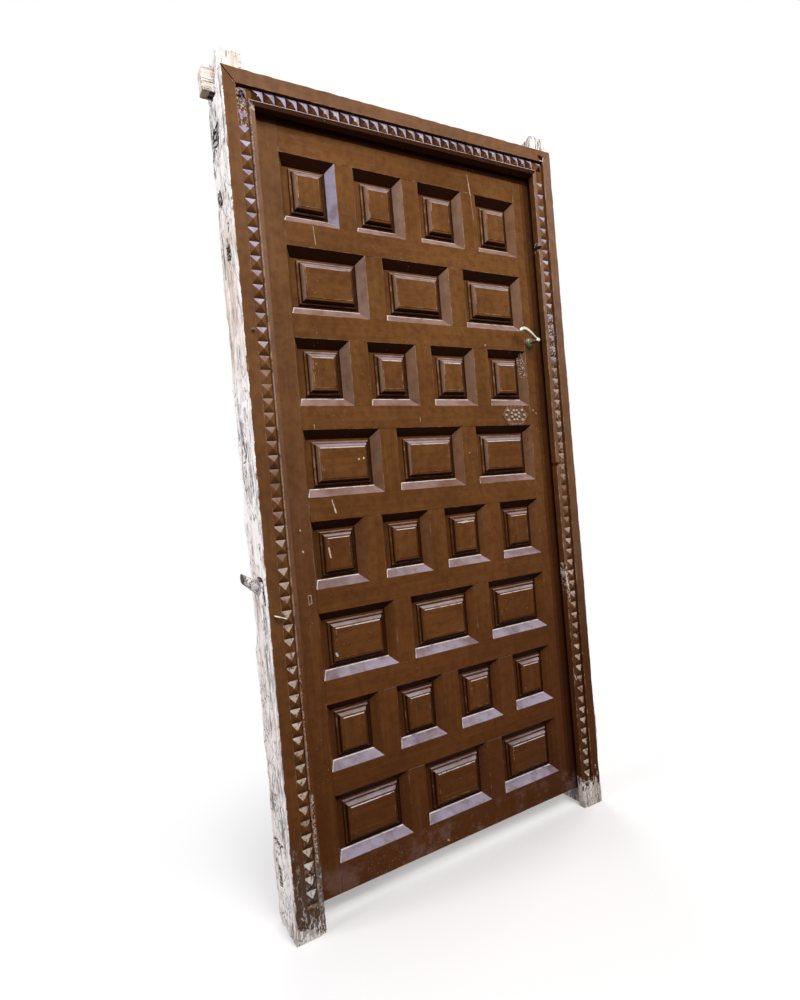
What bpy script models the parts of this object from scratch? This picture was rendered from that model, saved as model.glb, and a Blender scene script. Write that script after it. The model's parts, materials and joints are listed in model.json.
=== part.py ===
"""Panelled wooden door standing in its own frame.

Units are metres and Z is up. The front, the side with the deep bevels, faces -Y.
The origin is on the floor, midway between the jambs and in the middle of their depth.
The leaf is built of stiles, rails with their short muntins, and loose raised panels.
"""

import math

import bpy
import bmesh
from mathutils import Matrix

# Leaf layout
LEAF_H = 1.9115
FIELD_W = 0.747  # across all the panel openings of one row
ROW_COUNT = 8
NARROW_ROW_PANELS = 4  # first row from the top, then every second row
WIDE_ROW_PANELS = 3
RAIL_H = 0.0599  # flat height of a rail between two rows
MUNTIN_W = 0.0515
TOP_RAIL_H = 0.087
BOTTOM_RAIL_H = 0.074
STILE_W = 0.074
LEAF_T = 0.045
FLOOR_GAP = 0.052  # under the leaf

# Edge of a panel opening
BEVEL_W = 0.0206
BEVEL_D = 0.0200
LIP_T = 0.0020  # flat edge left under the bevel
GROOVE_W = 0.0110
GROOVE_D = 0.0090

# Raised panel, each size counted from the one before it
MARGIN_W = 0.0069  # flat strip beside the bevel's foot
STEP_RUN = 0.0035
STEP_RISE = 0.0058
QUIRK_RUN = 0.0036
QUIRK_DROP = 0.0014
OVOLO_RUN = 0.0088
OVOLO_RISE = 0.0112
OVOLO_STEPS = 3
FIELD_EDGE_RUN = 0.0024
FIELD_EDGE_RISE = 0.0014
PANEL_PLAY = 0.0008  # room for the panel to swell in its groove

# Joints between the wooden members
TENON_SET = 0.0150  # from the leaf's front to the tenon
TENON_T = 0.0150
TENON_L = 0.055
TENON_SHOULDER = 0.008
STUB_TENON_L = 0.020
STUB_TENON_W = 0.028
FIT = 0.0003  # gap left between pieces that touch
MITRE_FIT = 0.0003
STILE_MITRE_FIT = 0.0003  # the stile's share of the same gap

# Frame
LEAF_TO_STOP = 0.012  # how far the leaf stands behind the stop
STOP_T = 0.023
STOP_LAP = 0.012  # how far the stop covers the leaf's edge
LEAF_CLEARANCE = 0.004  # between leaf and rebate
JAMB_FACE_W = 0.0745
JAMB_DEPTH = 0.115
HORN_H = 0.056  # jamb above the head's front
HEAD_TENON_T = 0.035
HEAD_TENON_SET = 0.0525  # from the frame's front to the tenon
HEAD_TENON_H = 0.0555
HEAD_BACK_RISE = 0.024  # beam behind the tenon's front above the head's front
HEAD_TENON_LEFT = 0.030  # beyond the jamb's outer face
HEAD_TENON_RIGHT = 0.038

# Carved band of pyramids
FLAT_BAND_W = 0.033
STUD_BAND_W = 0.028
FILLET_DROP = 0.003
STUD_RECESS = 0.010
STUD_H = 0.0085
JAMB_STUD_PITCH = 0.0332
HEAD_STUD_PITCH = 0.0283
STUD_START = 0.075  # first pyramid above the floor

# Stop bead of the right jamb, in three lengths
BEAD_NOTCH = 0.010
BEAD_NOTCH_LOW = 1.071
BEAD_NOTCH_HIGH = 1.737

# Hinges
PIN_X_IN = 0.0075  # pin inside the leaf's edge
PIN_BEHIND = 0.012  # pin behind the leaf's back
PIN_R = 0.006
PIN_FIT = 0.0003
EYE_WALL = 0.0037
EYE_H = 0.040
PIN_ABOVE_EYE = 0.006
STRAP_L = 0.29
STRAP_T = 0.004
STRAP_TIP_H = 0.026
SHANK = 0.012  # square shank of the pintle
SHANK_IN_JAMB = 0.036
UPPER_HINGE_RAIL = 1  # counted from the top rail, which is 0
LOWER_HINGE_RAIL = 7
SWING_DEG = 100

# Lever and bolt
LEVER_RAIL = 2
SPINDLE_IN_STILE = 0.0185  # spindle from the stile's inner edge
LEVER_DROP = 0.004  # spindle below the middle of its rail
SPINDLE = 0.008
SPINDLE_HOLE_R = 0.0066
ROSE_R = 0.0150
ROSE_T = 0.0105
NECK_R = 0.0075
LEVER_OUT = 0.038  # arm in front of the leaf
INSIDE_LEVER_OUT = 0.0443  # arm behind the leaf
ARM_L = 0.067
ARM_RISE = 0.0235
ARM_CROWN = 0.014  # how far the arm bows above a straight line
ARM_ROOT_T = 0.0075
ARM_TIP_T = 0.0125
ARM_DEPTH = 0.0120
HUB_R = 0.0095
CASE_W = 0.0845
CASE_T = 0.020
CASE_WALL = 0.002
CASE_ABOVE = 0.024
CASE_BELOW = 0.036
CASE_EDGE = 0.001  # case inside the leaf's edge
BOLT_H = 0.018
BOLT_T = 0.008
BOLT_L = 0.072
BOLT_TRAVEL = 0.0142
LEVER_TURN_DEG = 40
FOLLOWER_R = 0.011
FOLLOWER_ARM = 0.026
FOLLOWER_ARM_W = 0.0055
FOLLOWER_TIP_W = 0.0040
BOLT_SLOT_W = 0.0096
BOLT_SLOT_D = 0.0130
KEEPER_T = 0.002
KEEPER_H = 0.062
KEEPER_D = 0.030
KEEPER_HOLE_PLAY = 0.0012
POCKET_D = 0.018

# Six-sided plate on the front
PLATE_RAIL = 3
PLATE_FROM_STILE = 0.0615  # plate's middle from the lever stile
PLATE_W = 0.101
PLATE_H = 0.0605
PLATE_FLAT_W = 0.055  # length of its top and bottom edge
PLATE_T = 0.0022
PLATE_RIM = 0.006
PLATE_BOSS_R = 0.013
PLATE_BOSS_H = 0.0040

# Peg and nails of the left jamb
PEG_Z = 0.824
PEG_REACH = 0.038
PEG_CLIMB = 0.029
PEG_Y = 0.000
PEG_ROOT_R = 0.0125
PEG_TIP_R = 0.0085
PEG_IN_JAMB = 0.022
NAIL_R = 0.0020
NAIL_IN_JAMB = 0.016
UPPER_NAIL_IN = 0.024  # from the jamb's outer edge
UPPER_NAIL_Z = 1.427
UPPER_NAIL_OUT = 0.006
LOWER_NAIL_IN = 0.0154
LOWER_NAIL_Z = 0.7665
LOWER_NAIL_OUT = 0.009
NAIL_BEND = 0.024
NAIL_DROP = 0.009

# Sizes that follow from the ones above
FIELD_HALF = FIELD_W / 2
LEAF_HALF = FIELD_HALF + STILE_W
LEAF_FRONT = -LEAF_T / 2
LEAF_BACK = LEAF_T / 2
RAILS_H = TOP_RAIL_H + BOTTOM_RAIL_H + (ROW_COUNT - 1) * RAIL_H
ROW_H = (LEAF_H - RAILS_H) / ROW_COUNT  # height of a panel opening
LEAF_BOTTOM = FLOOR_GAP
LEAF_TOP = LEAF_BOTTOM + LEAF_H
STOP_HALF = LEAF_HALF - STOP_LAP
OUTER_HALF = STOP_HALF + JAMB_FACE_W
REBATE_HALF = LEAF_HALF + LEAF_CLEARANCE
STOP_BACK = LEAF_FRONT - LEAF_TO_STOP
FRAME_FRONT = STOP_BACK - STOP_T
FRAME_BACK = FRAME_FRONT + JAMB_DEPTH
SOFFIT = LEAF_TOP - STOP_LAP
REBATE_TOP = LEAF_TOP + LEAF_CLEARANCE
HEAD_TOP = SOFFIT + JAMB_FACE_W
HORN_TOP = HEAD_TOP + HORN_H
HEAD_BACK_TOP = HEAD_TOP + HEAD_BACK_RISE
FILLET_W = JAMB_FACE_W - FLAT_BAND_W - STUD_BAND_W
STUD_IN = STOP_HALF + FILLET_W
STUD_OUT = STUD_IN + STUD_BAND_W
GROOVE_FRONT = LEAF_FRONT + BEVEL_D + LIP_T
GROOVE_BACK = GROOVE_FRONT + GROOVE_W
PIN_X = -(LEAF_HALF - PIN_X_IN)
PIN_Y = LEAF_BACK + PIN_BEHIND
LEVER_X = FIELD_HALF + SPINDLE_IN_STILE
PLATE_X = FIELD_HALF - PLATE_FROM_STILE
UPPER_NAIL_X = OUTER_HALF - UPPER_NAIL_IN
LOWER_NAIL_X = OUTER_HALF - LOWER_NAIL_IN
OVER = 0.004  # cutters run past the surface they cut by this much

MATERIALS = {
    "paint": ((0.150, 0.068, 0.034), 0.38, 0.0),
    "bare": ((0.500, 0.420, 0.340), 0.90, 0.0),
    "brass": ((0.520, 0.400, 0.160), 0.35, 1.0),
    "iron": ((0.090, 0.080, 0.075), 0.55, 1.0),
}


def material(name, kind):
    """A plain surface of its own for one piece."""
    colour, roughness, metallic = MATERIALS[kind]
    made = bpy.data.materials.new(name)
    made.use_nodes = True
    shader = made.node_tree.nodes["Principled BSDF"]
    shader.inputs["Base Color"].default_value = (*colour, 1.0)
    shader.inputs["Roughness"].default_value = roughness
    shader.inputs["Metallic"].default_value = metallic
    return made


def solid(name, shells, kind=None):
    """One object from one or more closed shells, each a list of points and a list of faces."""
    points = []
    faces = []
    for shell_points, shell_faces in shells:
        start = len(points)
        points.extend(shell_points)
        faces.extend([[start + i for i in face] for face in shell_faces])
    mesh = bpy.data.meshes.new(name)
    mesh.from_pydata(points, [], faces)
    work = bmesh.new()
    work.from_mesh(mesh)
    bmesh.ops.recalc_face_normals(work, faces=work.faces)
    work.to_mesh(mesh)
    work.free()
    made = bpy.data.objects.new(name, mesh)
    bpy.context.scene.collection.objects.link(made)
    if kind:
        mesh.materials.append(material(name, kind))
    return made


def combine(piece, operation, shells, label):
    """Cuts shells out of a piece, or adds them to it, through a hidden helper object."""
    helper = solid(piece.name + "." + label, shells)
    helper.hide_render = True
    helper.display_type = "WIRE"
    step = piece.modifiers.new(label, "BOOLEAN")
    step.operation = operation
    step.solver = "EXACT"
    step.object = helper


def cut(piece, shells, label):
    combine(piece, "DIFFERENCE", shells, label)


def add(piece, shells, label):
    combine(piece, "UNION", shells, label)


def rings(loops):
    """Closed shell through equal loops of points, with both ends capped."""
    count = len(loops[0])
    points = [point for loop in loops for point in loop]
    faces = [list(range(count))]
    for step in range(len(loops) - 1):
        base = step * count
        for i in range(count):
            j = (i + 1) % count
            faces.append([base + i, base + j, base + count + j, base + count + i])
    last = (len(loops) - 1) * count
    faces.append(list(range(last, last + count)))
    return points, faces


def box(x, y, z):
    """Box between pairs of limits."""
    x0, x1 = sorted(x)
    y0, y1 = sorted(y)
    z0, z1 = sorted(z)
    corners = ((x0, z0), (x1, z0), (x1, z1), (x0, z1))
    return rings([[(a, y0, b) for a, b in corners], [(a, y1, b) for a, b in corners]])


def slab(outline, y0, y1):
    """Outline in X and Z carried from y0 to y1."""
    return rings([[(x, y0, z) for x, z in outline], [(x, y1, z) for x, z in outline]])


def column(outline, z0, z1):
    """Outline in X and Y carried from z0 to z1."""
    return rings([[(x, y, z0) for x, y in outline], [(x, y, z1) for x, y in outline]])


def bar(outline, x0, x1):
    """Outline in Y and Z carried from x0 to x1."""
    return rings([[(x0, y, z) for y, z in outline], [(x1, y, z) for y, z in outline]])


def disc(cx, cz, radius, sides):
    turn = 2 * math.pi / sides
    return [
        (cx + radius * math.cos(turn * i), cz + radius * math.sin(turn * i))
        for i in range(sides)
    ]


def turned(cx, cz, profile, sides):
    """Round body about an axis along Y, through pairs of radius and y."""
    loops = []
    for radius, y in profile:
        loops.append([(x, y, z) for x, z in disc(cx, cz, radius, sides)])
    return rings(loops)


def rail_span(index):
    """Flat lower and upper edge of a rail, counted from the top rail, which is 0."""
    top = LEAF_TOP if index == 0 else row_bottom(index - 1)
    bottom = LEAF_BOTTOM if index == ROW_COUNT else row_top(index)
    return bottom, top


def row_top(row):
    return LEAF_TOP - TOP_RAIL_H - row * (ROW_H + RAIL_H)


def row_bottom(row):
    return row_top(row) - ROW_H


def openings(row):
    """Left and right edge of each panel opening of a row."""
    count = NARROW_ROW_PANELS if row % 2 == 0 else WIDE_ROW_PANELS
    width = (FIELD_W - (count - 1) * MUNTIN_W) / count
    lefts = [-FIELD_HALF + i * (width + MUNTIN_W) for i in range(count)]
    return [(left, left + width) for left in lefts]


def opening_cutters(row):
    """For each opening of a row: the sloping mouth and the groove for the panel."""
    shells = []
    slope = BEVEL_D / BEVEL_W
    lead = 0.002
    for left, right in openings(row):
        loops = []
        for inset in (-lead, BEVEL_W + lead / 2):
            x0, x1 = left + inset, right - inset
            z0, z1 = row_bottom(row) + inset, row_top(row) - inset
            y = LEAF_FRONT + inset * slope
            loops.append([(x0, y, z0), (x1, y, z0), (x1, y, z1), (x0, y, z1)])
        shells.append(rings(loops))
        inset = BEVEL_W - GROOVE_D
        shells.append(
            box(
                (left + inset, right - inset),
                (GROOVE_FRONT, GROOVE_BACK),
                (row_bottom(row) + inset, row_top(row) - inset),
            )
        )
    return shells


def rail_outline(index):
    """Front outline of a rail with the muntins that stand on it, mitred at every corner."""
    low, high = rail_span(index)
    left = -FIELD_HALF + MITRE_FIT
    right = FIELD_HALF - MITRE_FIT
    outline = []
    if index == ROW_COUNT:
        outline += [(left, low), (right, low)]
    else:
        for x0, x1 in openings(index):
            x0 = max(x0, left)
            x1 = min(x1, right)
            outline += [(x0, low), (x0 + BEVEL_W, low - BEVEL_W)]
            outline += [(x1 - BEVEL_W, low - BEVEL_W), (x1, low)]
    if index == 0:
        return outline + [(right, high), (left, high)]
    top = row_top(index - 1) - MITRE_FIT
    holes = openings(index - 1)
    for place in range(len(holes) - 1, -1, -1):
        x0, x1 = holes[place]
        if place == len(holes) - 1:
            outline += [(right, high), (right - BEVEL_W, high + BEVEL_W)]
        else:
            outline += [(x1, top), (x1 - BEVEL_W, top - BEVEL_W)]
            outline += [(x1 - BEVEL_W, high + BEVEL_W)]
        if place == 0:
            outline += [(left + BEVEL_W, high + BEVEL_W), (left, high)]
        else:
            outline += [(x0 + BEVEL_W, high + BEVEL_W)]
            outline += [(x0 + BEVEL_W, top - BEVEL_W), (x0, top)]
    return outline


def tenon_span(index):
    """Lower and upper edge of a rail's end tenon."""
    low, high = rail_span(index)
    return low + TENON_SHOULDER, high - TENON_SHOULDER


def muntin_middles(row):
    holes = openings(row)
    return [(holes[i][1] + holes[i + 1][0]) / 2 for i in range(len(holes) - 1)]


def lever_z():
    low, high = rail_span(LEVER_RAIL)
    return (low + high) / 2 - LEVER_DROP


def spindle_hole():
    return turned(
        LEVER_X,
        lever_z(),
        [(SPINDLE_HOLE_R, LEAF_FRONT - OVER), (SPINDLE_HOLE_R, LEAF_BACK + OVER)],
        16,
    )


def build_stile(name, side):
    """A stile, with side -1 for the hinge side and 1 for the lever side."""
    inner = side * FIELD_HALF
    outer = side * LEAF_HALF
    shoulder = inner + side * STILE_MITRE_FIT
    outline = [(outer, LEAF_TOP), (outer, LEAF_BOTTOM), (shoulder, LEAF_BOTTOM)]
    for row in range(ROW_COUNT - 1, -1, -1):
        low, high = row_bottom(row), row_top(row)
        reach = inner - side * BEVEL_W
        climb = BEVEL_W + STILE_MITRE_FIT
        outline += [(shoulder, low), (reach, low + climb)]
        outline += [(reach, high - climb), (shoulder, high)]
    outline += [(shoulder, LEAF_TOP)]
    stile = solid(name, [slab(outline, LEAF_FRONT, LEAF_BACK)], "paint")
    mouths = []
    for row in range(ROW_COUNT):
        shells = opening_cutters(row)
        mouths += shells[:2] if side < 0 else shells[-2:]
    cut(stile, mouths, "panel_mouths")
    mortises = []
    for index in range(ROW_COUNT + 1):
        low, high = tenon_span(index)
        mortises.append(
            box(
                (inner - side * OVER, inner + side * (TENON_L + FIT)),
                (LEAF_FRONT + TENON_SET - FIT, LEAF_FRONT + TENON_SET + TENON_T + FIT),
                (low - FIT, high + FIT),
            )
        )
    cut(stile, mortises, "mortises")
    if side > 0:
        cut(stile, [spindle_hole()], "spindle_hole")
    return stile


def build_rail(name, index):
    """A rail with its end tenons and, below the top rail, the muntins standing on it."""
    rail = solid(name, [slab(rail_outline(index), LEAF_FRONT, LEAF_BACK)], "paint")
    mouths = []
    if index > 0:
        mouths += opening_cutters(index - 1)
    if index < ROW_COUNT:
        mouths += opening_cutters(index)
    cut(rail, mouths, "panel_mouths")
    y = (LEAF_FRONT + TENON_SET, LEAF_FRONT + TENON_SET + TENON_T)
    low, high = tenon_span(index)
    tenons = []
    for side in (-1, 1):
        start = side * (FIELD_HALF - BEVEL_W / 2)
        tenons.append(box((start, side * (FIELD_HALF + TENON_L)), y, (low, high)))
    if index > 0:
        top = row_top(index - 1)
        for middle in muntin_middles(index - 1):
            x = (middle - STUB_TENON_W / 2, middle + STUB_TENON_W / 2)
            tenons.append(box(x, y, (top - STUB_TENON_L, top + STUB_TENON_L)))
    add(rail, tenons, "tenons")
    if index < ROW_COUNT:
        mortises = []
        for middle in muntin_middles(index):
            half = STUB_TENON_W / 2 + FIT
            mortises.append(
                box(
                    (middle - half, middle + half),
                    (y[0] - FIT, y[1] + FIT),
                    (row_top(index) - OVER, row_top(index) + STUB_TENON_L + FIT),
                )
            )
        cut(rail, mortises, "mortises")
    if index == LEVER_RAIL:
        cut(rail, [spindle_hole()], "spindle_hole")
    return rail


def build_panel(name, row, place):
    """One raised panel with the tongue that lies in the groove around it."""
    left, right = openings(row)[place]
    low, high = row_bottom(row), row_top(row)
    tongue = BEVEL_W - GROOVE_D + PANEL_PLAY
    inset = BEVEL_W + MARGIN_W
    depth = GROOVE_FRONT + FIT
    levels = [(tongue, GROOVE_BACK - FIT), (tongue, depth), (inset, depth)]
    inset += STEP_RUN
    depth -= STEP_RISE
    levels.append((inset, depth))
    inset += QUIRK_RUN
    depth += QUIRK_DROP
    levels.append((inset, depth))
    for step in range(1, OVOLO_STEPS + 1):
        angle = math.pi / 2 * step / OVOLO_STEPS
        run = OVOLO_RUN * (1 - math.cos(angle))
        rise = OVOLO_RISE * math.sin(angle)
        levels.append((inset + run, depth - rise))
    inset += OVOLO_RUN + FIELD_EDGE_RUN
    depth -= OVOLO_RISE + FIELD_EDGE_RISE
    levels.append((inset, depth))
    loops = []
    for step_in, y in levels:
        x0, x1 = left + step_in, right - step_in
        z0, z1 = low + step_in, high - step_in
        loops.append([(x0, y, z0), (x1, y, z0), (x1, y, z1), (x0, y, z1)])
    return solid(name, [rings(loops)], "paint")


def stud_channel(start, count, pitch, low_end, high_end, place):
    """Cutter for the sunk band: a trough whose floor is left standing in pyramids."""
    marks = [start + i * pitch for i in range(count + 1)]
    if low_end < marks[0]:
        marks.insert(0, low_end)
    if high_end > marks[-1]:
        marks.append(high_end)
    points = []
    faces = []

    def point(along, across, deep):
        points.append(place(along, across, deep))
        return len(points) - 1

    edge_in = [point(a, STUD_IN, STUD_RECESS) for a in marks]
    edge_out = [point(a, STUD_OUT, STUD_RECESS) for a in marks]
    roof_in = [point(a, STUD_IN, -OVER) for a in (marks[0], marks[-1])]
    roof_out = [point(a, STUD_OUT, -OVER) for a in (marks[0], marks[-1])]
    last = len(marks) - 1
    for i in range(last):
        a0, a1 = edge_in[i], edge_in[i + 1]
        b0, b1 = edge_out[i], edge_out[i + 1]
        if marks[i] < start - 1e-6 or marks[i + 1] > start + count * pitch + 1e-6:
            faces.append([a0, a1, b1, b0])
            continue
        middle = (STUD_IN + STUD_OUT) / 2
        tip = point((marks[i] + marks[i + 1]) / 2, middle, STUD_RECESS - STUD_H)
        faces += [[a0, a1, tip], [a1, b1, tip], [b1, b0, tip], [b0, a0, tip]]
    half = last // 2
    for edge, roof in ((edge_in, roof_in), (edge_out, roof_out)):
        for i in range(last):
            faces.append([roof[0] if i < half else roof[1], edge[i], edge[i + 1]])
        faces.append([roof[0], edge[half], roof[1]])
    faces.append([roof_in[0], roof_in[1], roof_out[1], roof_out[0]])
    faces.append([roof_in[0], roof_out[0], edge_out[0], edge_in[0]])
    faces.append([roof_in[1], roof_out[1], edge_out[last], edge_in[last]])
    return points, faces


def build_jamb(name, side):
    """An upright of the frame, with side -1 for the left one and 1 for the right one."""
    inner = STOP_HALF if side < 0 else STUD_IN
    outline = [
        (side * OUTER_HALF, FRAME_FRONT),
        (side * inner, FRAME_FRONT),
        (side * inner, STOP_BACK),
        (side * REBATE_HALF, STOP_BACK),
        (side * REBATE_HALF, FRAME_BACK),
        (side * OUTER_HALF, FRAME_BACK),
    ]
    jamb = solid(name, [column(outline, 0.0, HORN_TOP)], "paint")
    past = 0.03
    mitre = []
    for across in (STOP_HALF - past, OUTER_HALF + past):
        mitre.append((side * across, SOFFIT + across - STOP_HALF - MITRE_FIT))
    mitre += [(side * (OUTER_HALF + past), HORN_TOP + past)]
    mitre += [(side * (STOP_HALF - past), HORN_TOP + past)]
    cut(jamb, [slab(mitre, FRAME_FRONT - OVER, STOP_BACK + FIT / 2)], "mitre")

    def place(along, across, deep):
        return side * across, FRAME_FRONT + deep, along

    length = SOFFIT + FILLET_W - STUD_START
    count = int(length / JAMB_STUD_PITCH)
    cut(
        jamb,
        [
            stud_channel(
                STUD_START, count, JAMB_STUD_PITCH, STUD_START, HEAD_TOP + past, place
            )
        ],
        "stud_band",
    )
    if side < 0:
        x = (side * (STOP_HALF - OVER), side * (STUD_IN + FIT))
        y = (FRAME_FRONT - OVER, FRAME_FRONT + FILLET_DROP)
        cut(jamb, [box(x, y, (-OVER, HORN_TOP + past))], "fillet")
    tenon_y = FRAME_FRONT + HEAD_TENON_SET
    mortise = box(
        (side * (REBATE_HALF - OVER), side * (OUTER_HALF + OVER)),
        (tenon_y - FIT, tenon_y + HEAD_TENON_T + FIT),
        (HEAD_BACK_TOP - HEAD_TENON_H - FIT, HEAD_BACK_TOP + FIT),
    )
    cut(jamb, [mortise], "head_mortise")
    return jamb


def build_head():
    """The beam over the leaf, mitred in front and tenoned through both jambs behind."""
    tenon_y = FRAME_FRONT + HEAD_TENON_SET
    outline = [
        (FRAME_FRONT, SOFFIT),
        (STOP_BACK, SOFFIT),
        (STOP_BACK, REBATE_TOP),
        (FRAME_BACK, REBATE_TOP),
        (FRAME_BACK, HEAD_BACK_TOP),
        (tenon_y, HEAD_BACK_TOP),
        (tenon_y, HEAD_TOP),
        (FRAME_FRONT, HEAD_TOP),
    ]
    head = solid("head_beam", [bar(outline, -OUTER_HALF, OUTER_HALF)], "paint")
    past = 0.03
    ends = []
    wedges = []
    for side in (-1, 1):
        ends.append(
            box(
                (side * (REBATE_HALF - FIT), side * (OUTER_HALF + past)),
                (STOP_BACK - FIT, FRAME_BACK + OVER),
                (SOFFIT - past, HEAD_BACK_TOP + past),
            )
        )
        low = (side * (STOP_HALF - past), SOFFIT - past)
        high = (side * (OUTER_HALF + past), HEAD_TOP + past)
        corner = (side * (OUTER_HALF + past), SOFFIT - past)
        wedges.append(slab([low, high, corner], FRAME_FRONT - OVER, STOP_BACK + OVER))
    cut(head, ends, "shoulders")
    cut(head, wedges, "mitres")

    def place(along, across, deep):
        return along, FRAME_FRONT + deep, SOFFIT + across - STOP_HALF

    length = 2 * STUD_IN
    count = int(length / HEAD_STUD_PITCH)
    start = -count * HEAD_STUD_PITCH / 2
    end = OUTER_HALF + past
    cut(head, [stud_channel(start, count, HEAD_STUD_PITCH, -end, end, place)], "stud_band")
    fillet = box(
        (-OUTER_HALF - past, OUTER_HALF + past),
        (FRAME_FRONT - OVER, FRAME_FRONT + FILLET_DROP),
        (SOFFIT - OVER, SOFFIT + FILLET_W + FIT),
    )
    cut(head, [fillet], "fillet")
    tenons = []
    for side, reach in ((-1, HEAD_TENON_LEFT), (1, HEAD_TENON_RIGHT)):
        tenons.append(
            box(
                (side * (REBATE_HALF - 0.02), side * (OUTER_HALF + reach)),
                (tenon_y, tenon_y + HEAD_TENON_T),
                (HEAD_BACK_TOP - HEAD_TENON_H, HEAD_BACK_TOP - FIT),
            )
        )
    add(head, tenons, "tenons")
    return head


def build_bead(name, low, high, mitred):
    """One length of the stop bead nailed inside the right jamb."""
    outer = STUD_IN - FIT
    rise = outer - STOP_HALF if mitred else 0.0
    outline = [(STOP_HALF, low), (outer, low), (outer, high + rise), (STOP_HALF, high)]
    return solid(name, [slab(outline, FRAME_FRONT + FILLET_DROP, STOP_BACK)], "paint")


def hinge_z(index):
    low, high = rail_span(index)
    return (low + high) / 2


def build_strap(name, index):
    """Strap nailed across the back of a rail, with the eye that turns on the pintle."""
    z = hinge_z(index)
    start = PIN_X + PIN_FIT
    end = PIN_X + STRAP_L
    point = 0.035
    half = EYE_H / 2
    outline = [(start, z - half), (end - point, z - STRAP_TIP_H / 2), (end, z)]
    outline += [(end - point, z + STRAP_TIP_H / 2), (start, z + half)]
    y0 = LEAF_BACK + FIT
    strap = solid(name, [slab(outline, y0, y0 + STRAP_T)], "iron")
    hole = PIN_R + PIN_FIT
    eye = column(disc(PIN_X, PIN_Y, hole + EYE_WALL, 24), z - half + FIT, z + half - FIT)
    add(strap, [eye], "eye")
    bore = column(disc(PIN_X, PIN_Y, hole, 24), z - EYE_H, z + EYE_H)
    cut(strap, [bore], "pin_hole")
    return strap


def shank_box(index, grow):
    """Square shank that holds a pintle in the left jamb, grown by a gap for its hole."""
    top = hinge_z(index) - EYE_H / 2 - FIT
    return box(
        (-REBATE_HALF - SHANK_IN_JAMB - grow, PIN_X + SHANK / 2 + grow),
        (PIN_Y - SHANK / 2 - grow, PIN_Y + SHANK / 2 + grow),
        (top - SHANK - grow, top + grow),
    )


def build_pintle(name, index):
    """Upright pin on a shank driven into the jamb."""
    z = hinge_z(index)
    pintle = solid(name, [shank_box(index, 0.0)], "iron")
    foot = z - EYE_H / 2 - SHANK / 2
    pin = column(disc(PIN_X, PIN_Y, PIN_R, 24), foot, z + EYE_H / 2 + PIN_ABOVE_EYE)
    add(pintle, [pin], "pin")
    return pintle


def lever_arm(y):
    """The bowed arm of a lever, thin at the neck and thick at its free end."""
    z = lever_z()
    steps = 10
    sides = 10
    path = []
    for i in range(steps + 1):
        t = i / steps
        bow = 4 * ARM_CROWN * t * (1 - t) * (0.4 + 1.2 * t) / 1.0
        path.append((LEVER_X - ARM_L * t, z + ARM_RISE * t + bow))
    loops = []
    for i, (x, zz) in enumerate(path):
        before = path[max(i - 1, 0)]
        after = path[min(i + 1, steps)]
        dx, dz = after[0] - before[0], after[1] - before[1]
        size = math.hypot(dx, dz)
        nx, nz = -dz / size, dx / size
        t = i / steps
        thick = (ARM_ROOT_T + (ARM_TIP_T - ARM_ROOT_T) * t) / 2
        deep = ARM_DEPTH / 2
        if i == steps:
            thick *= 0.7
            deep *= 0.8
        loop = []
        for k in range(sides):
            angle = 2 * math.pi * k / sides
            u, v = thick * math.cos(angle), deep * math.sin(angle)
            loop.append((x + nx * u, y + v, zz + nz * u))
        loops.append(loop)
    return rings(loops)


def spindle_box(y0, y1, grow):
    half = SPINDLE / 2 + grow
    z = lever_z()
    return box((LEVER_X - half, LEVER_X + half), (y0, y1), (z - half, z + half))


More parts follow.
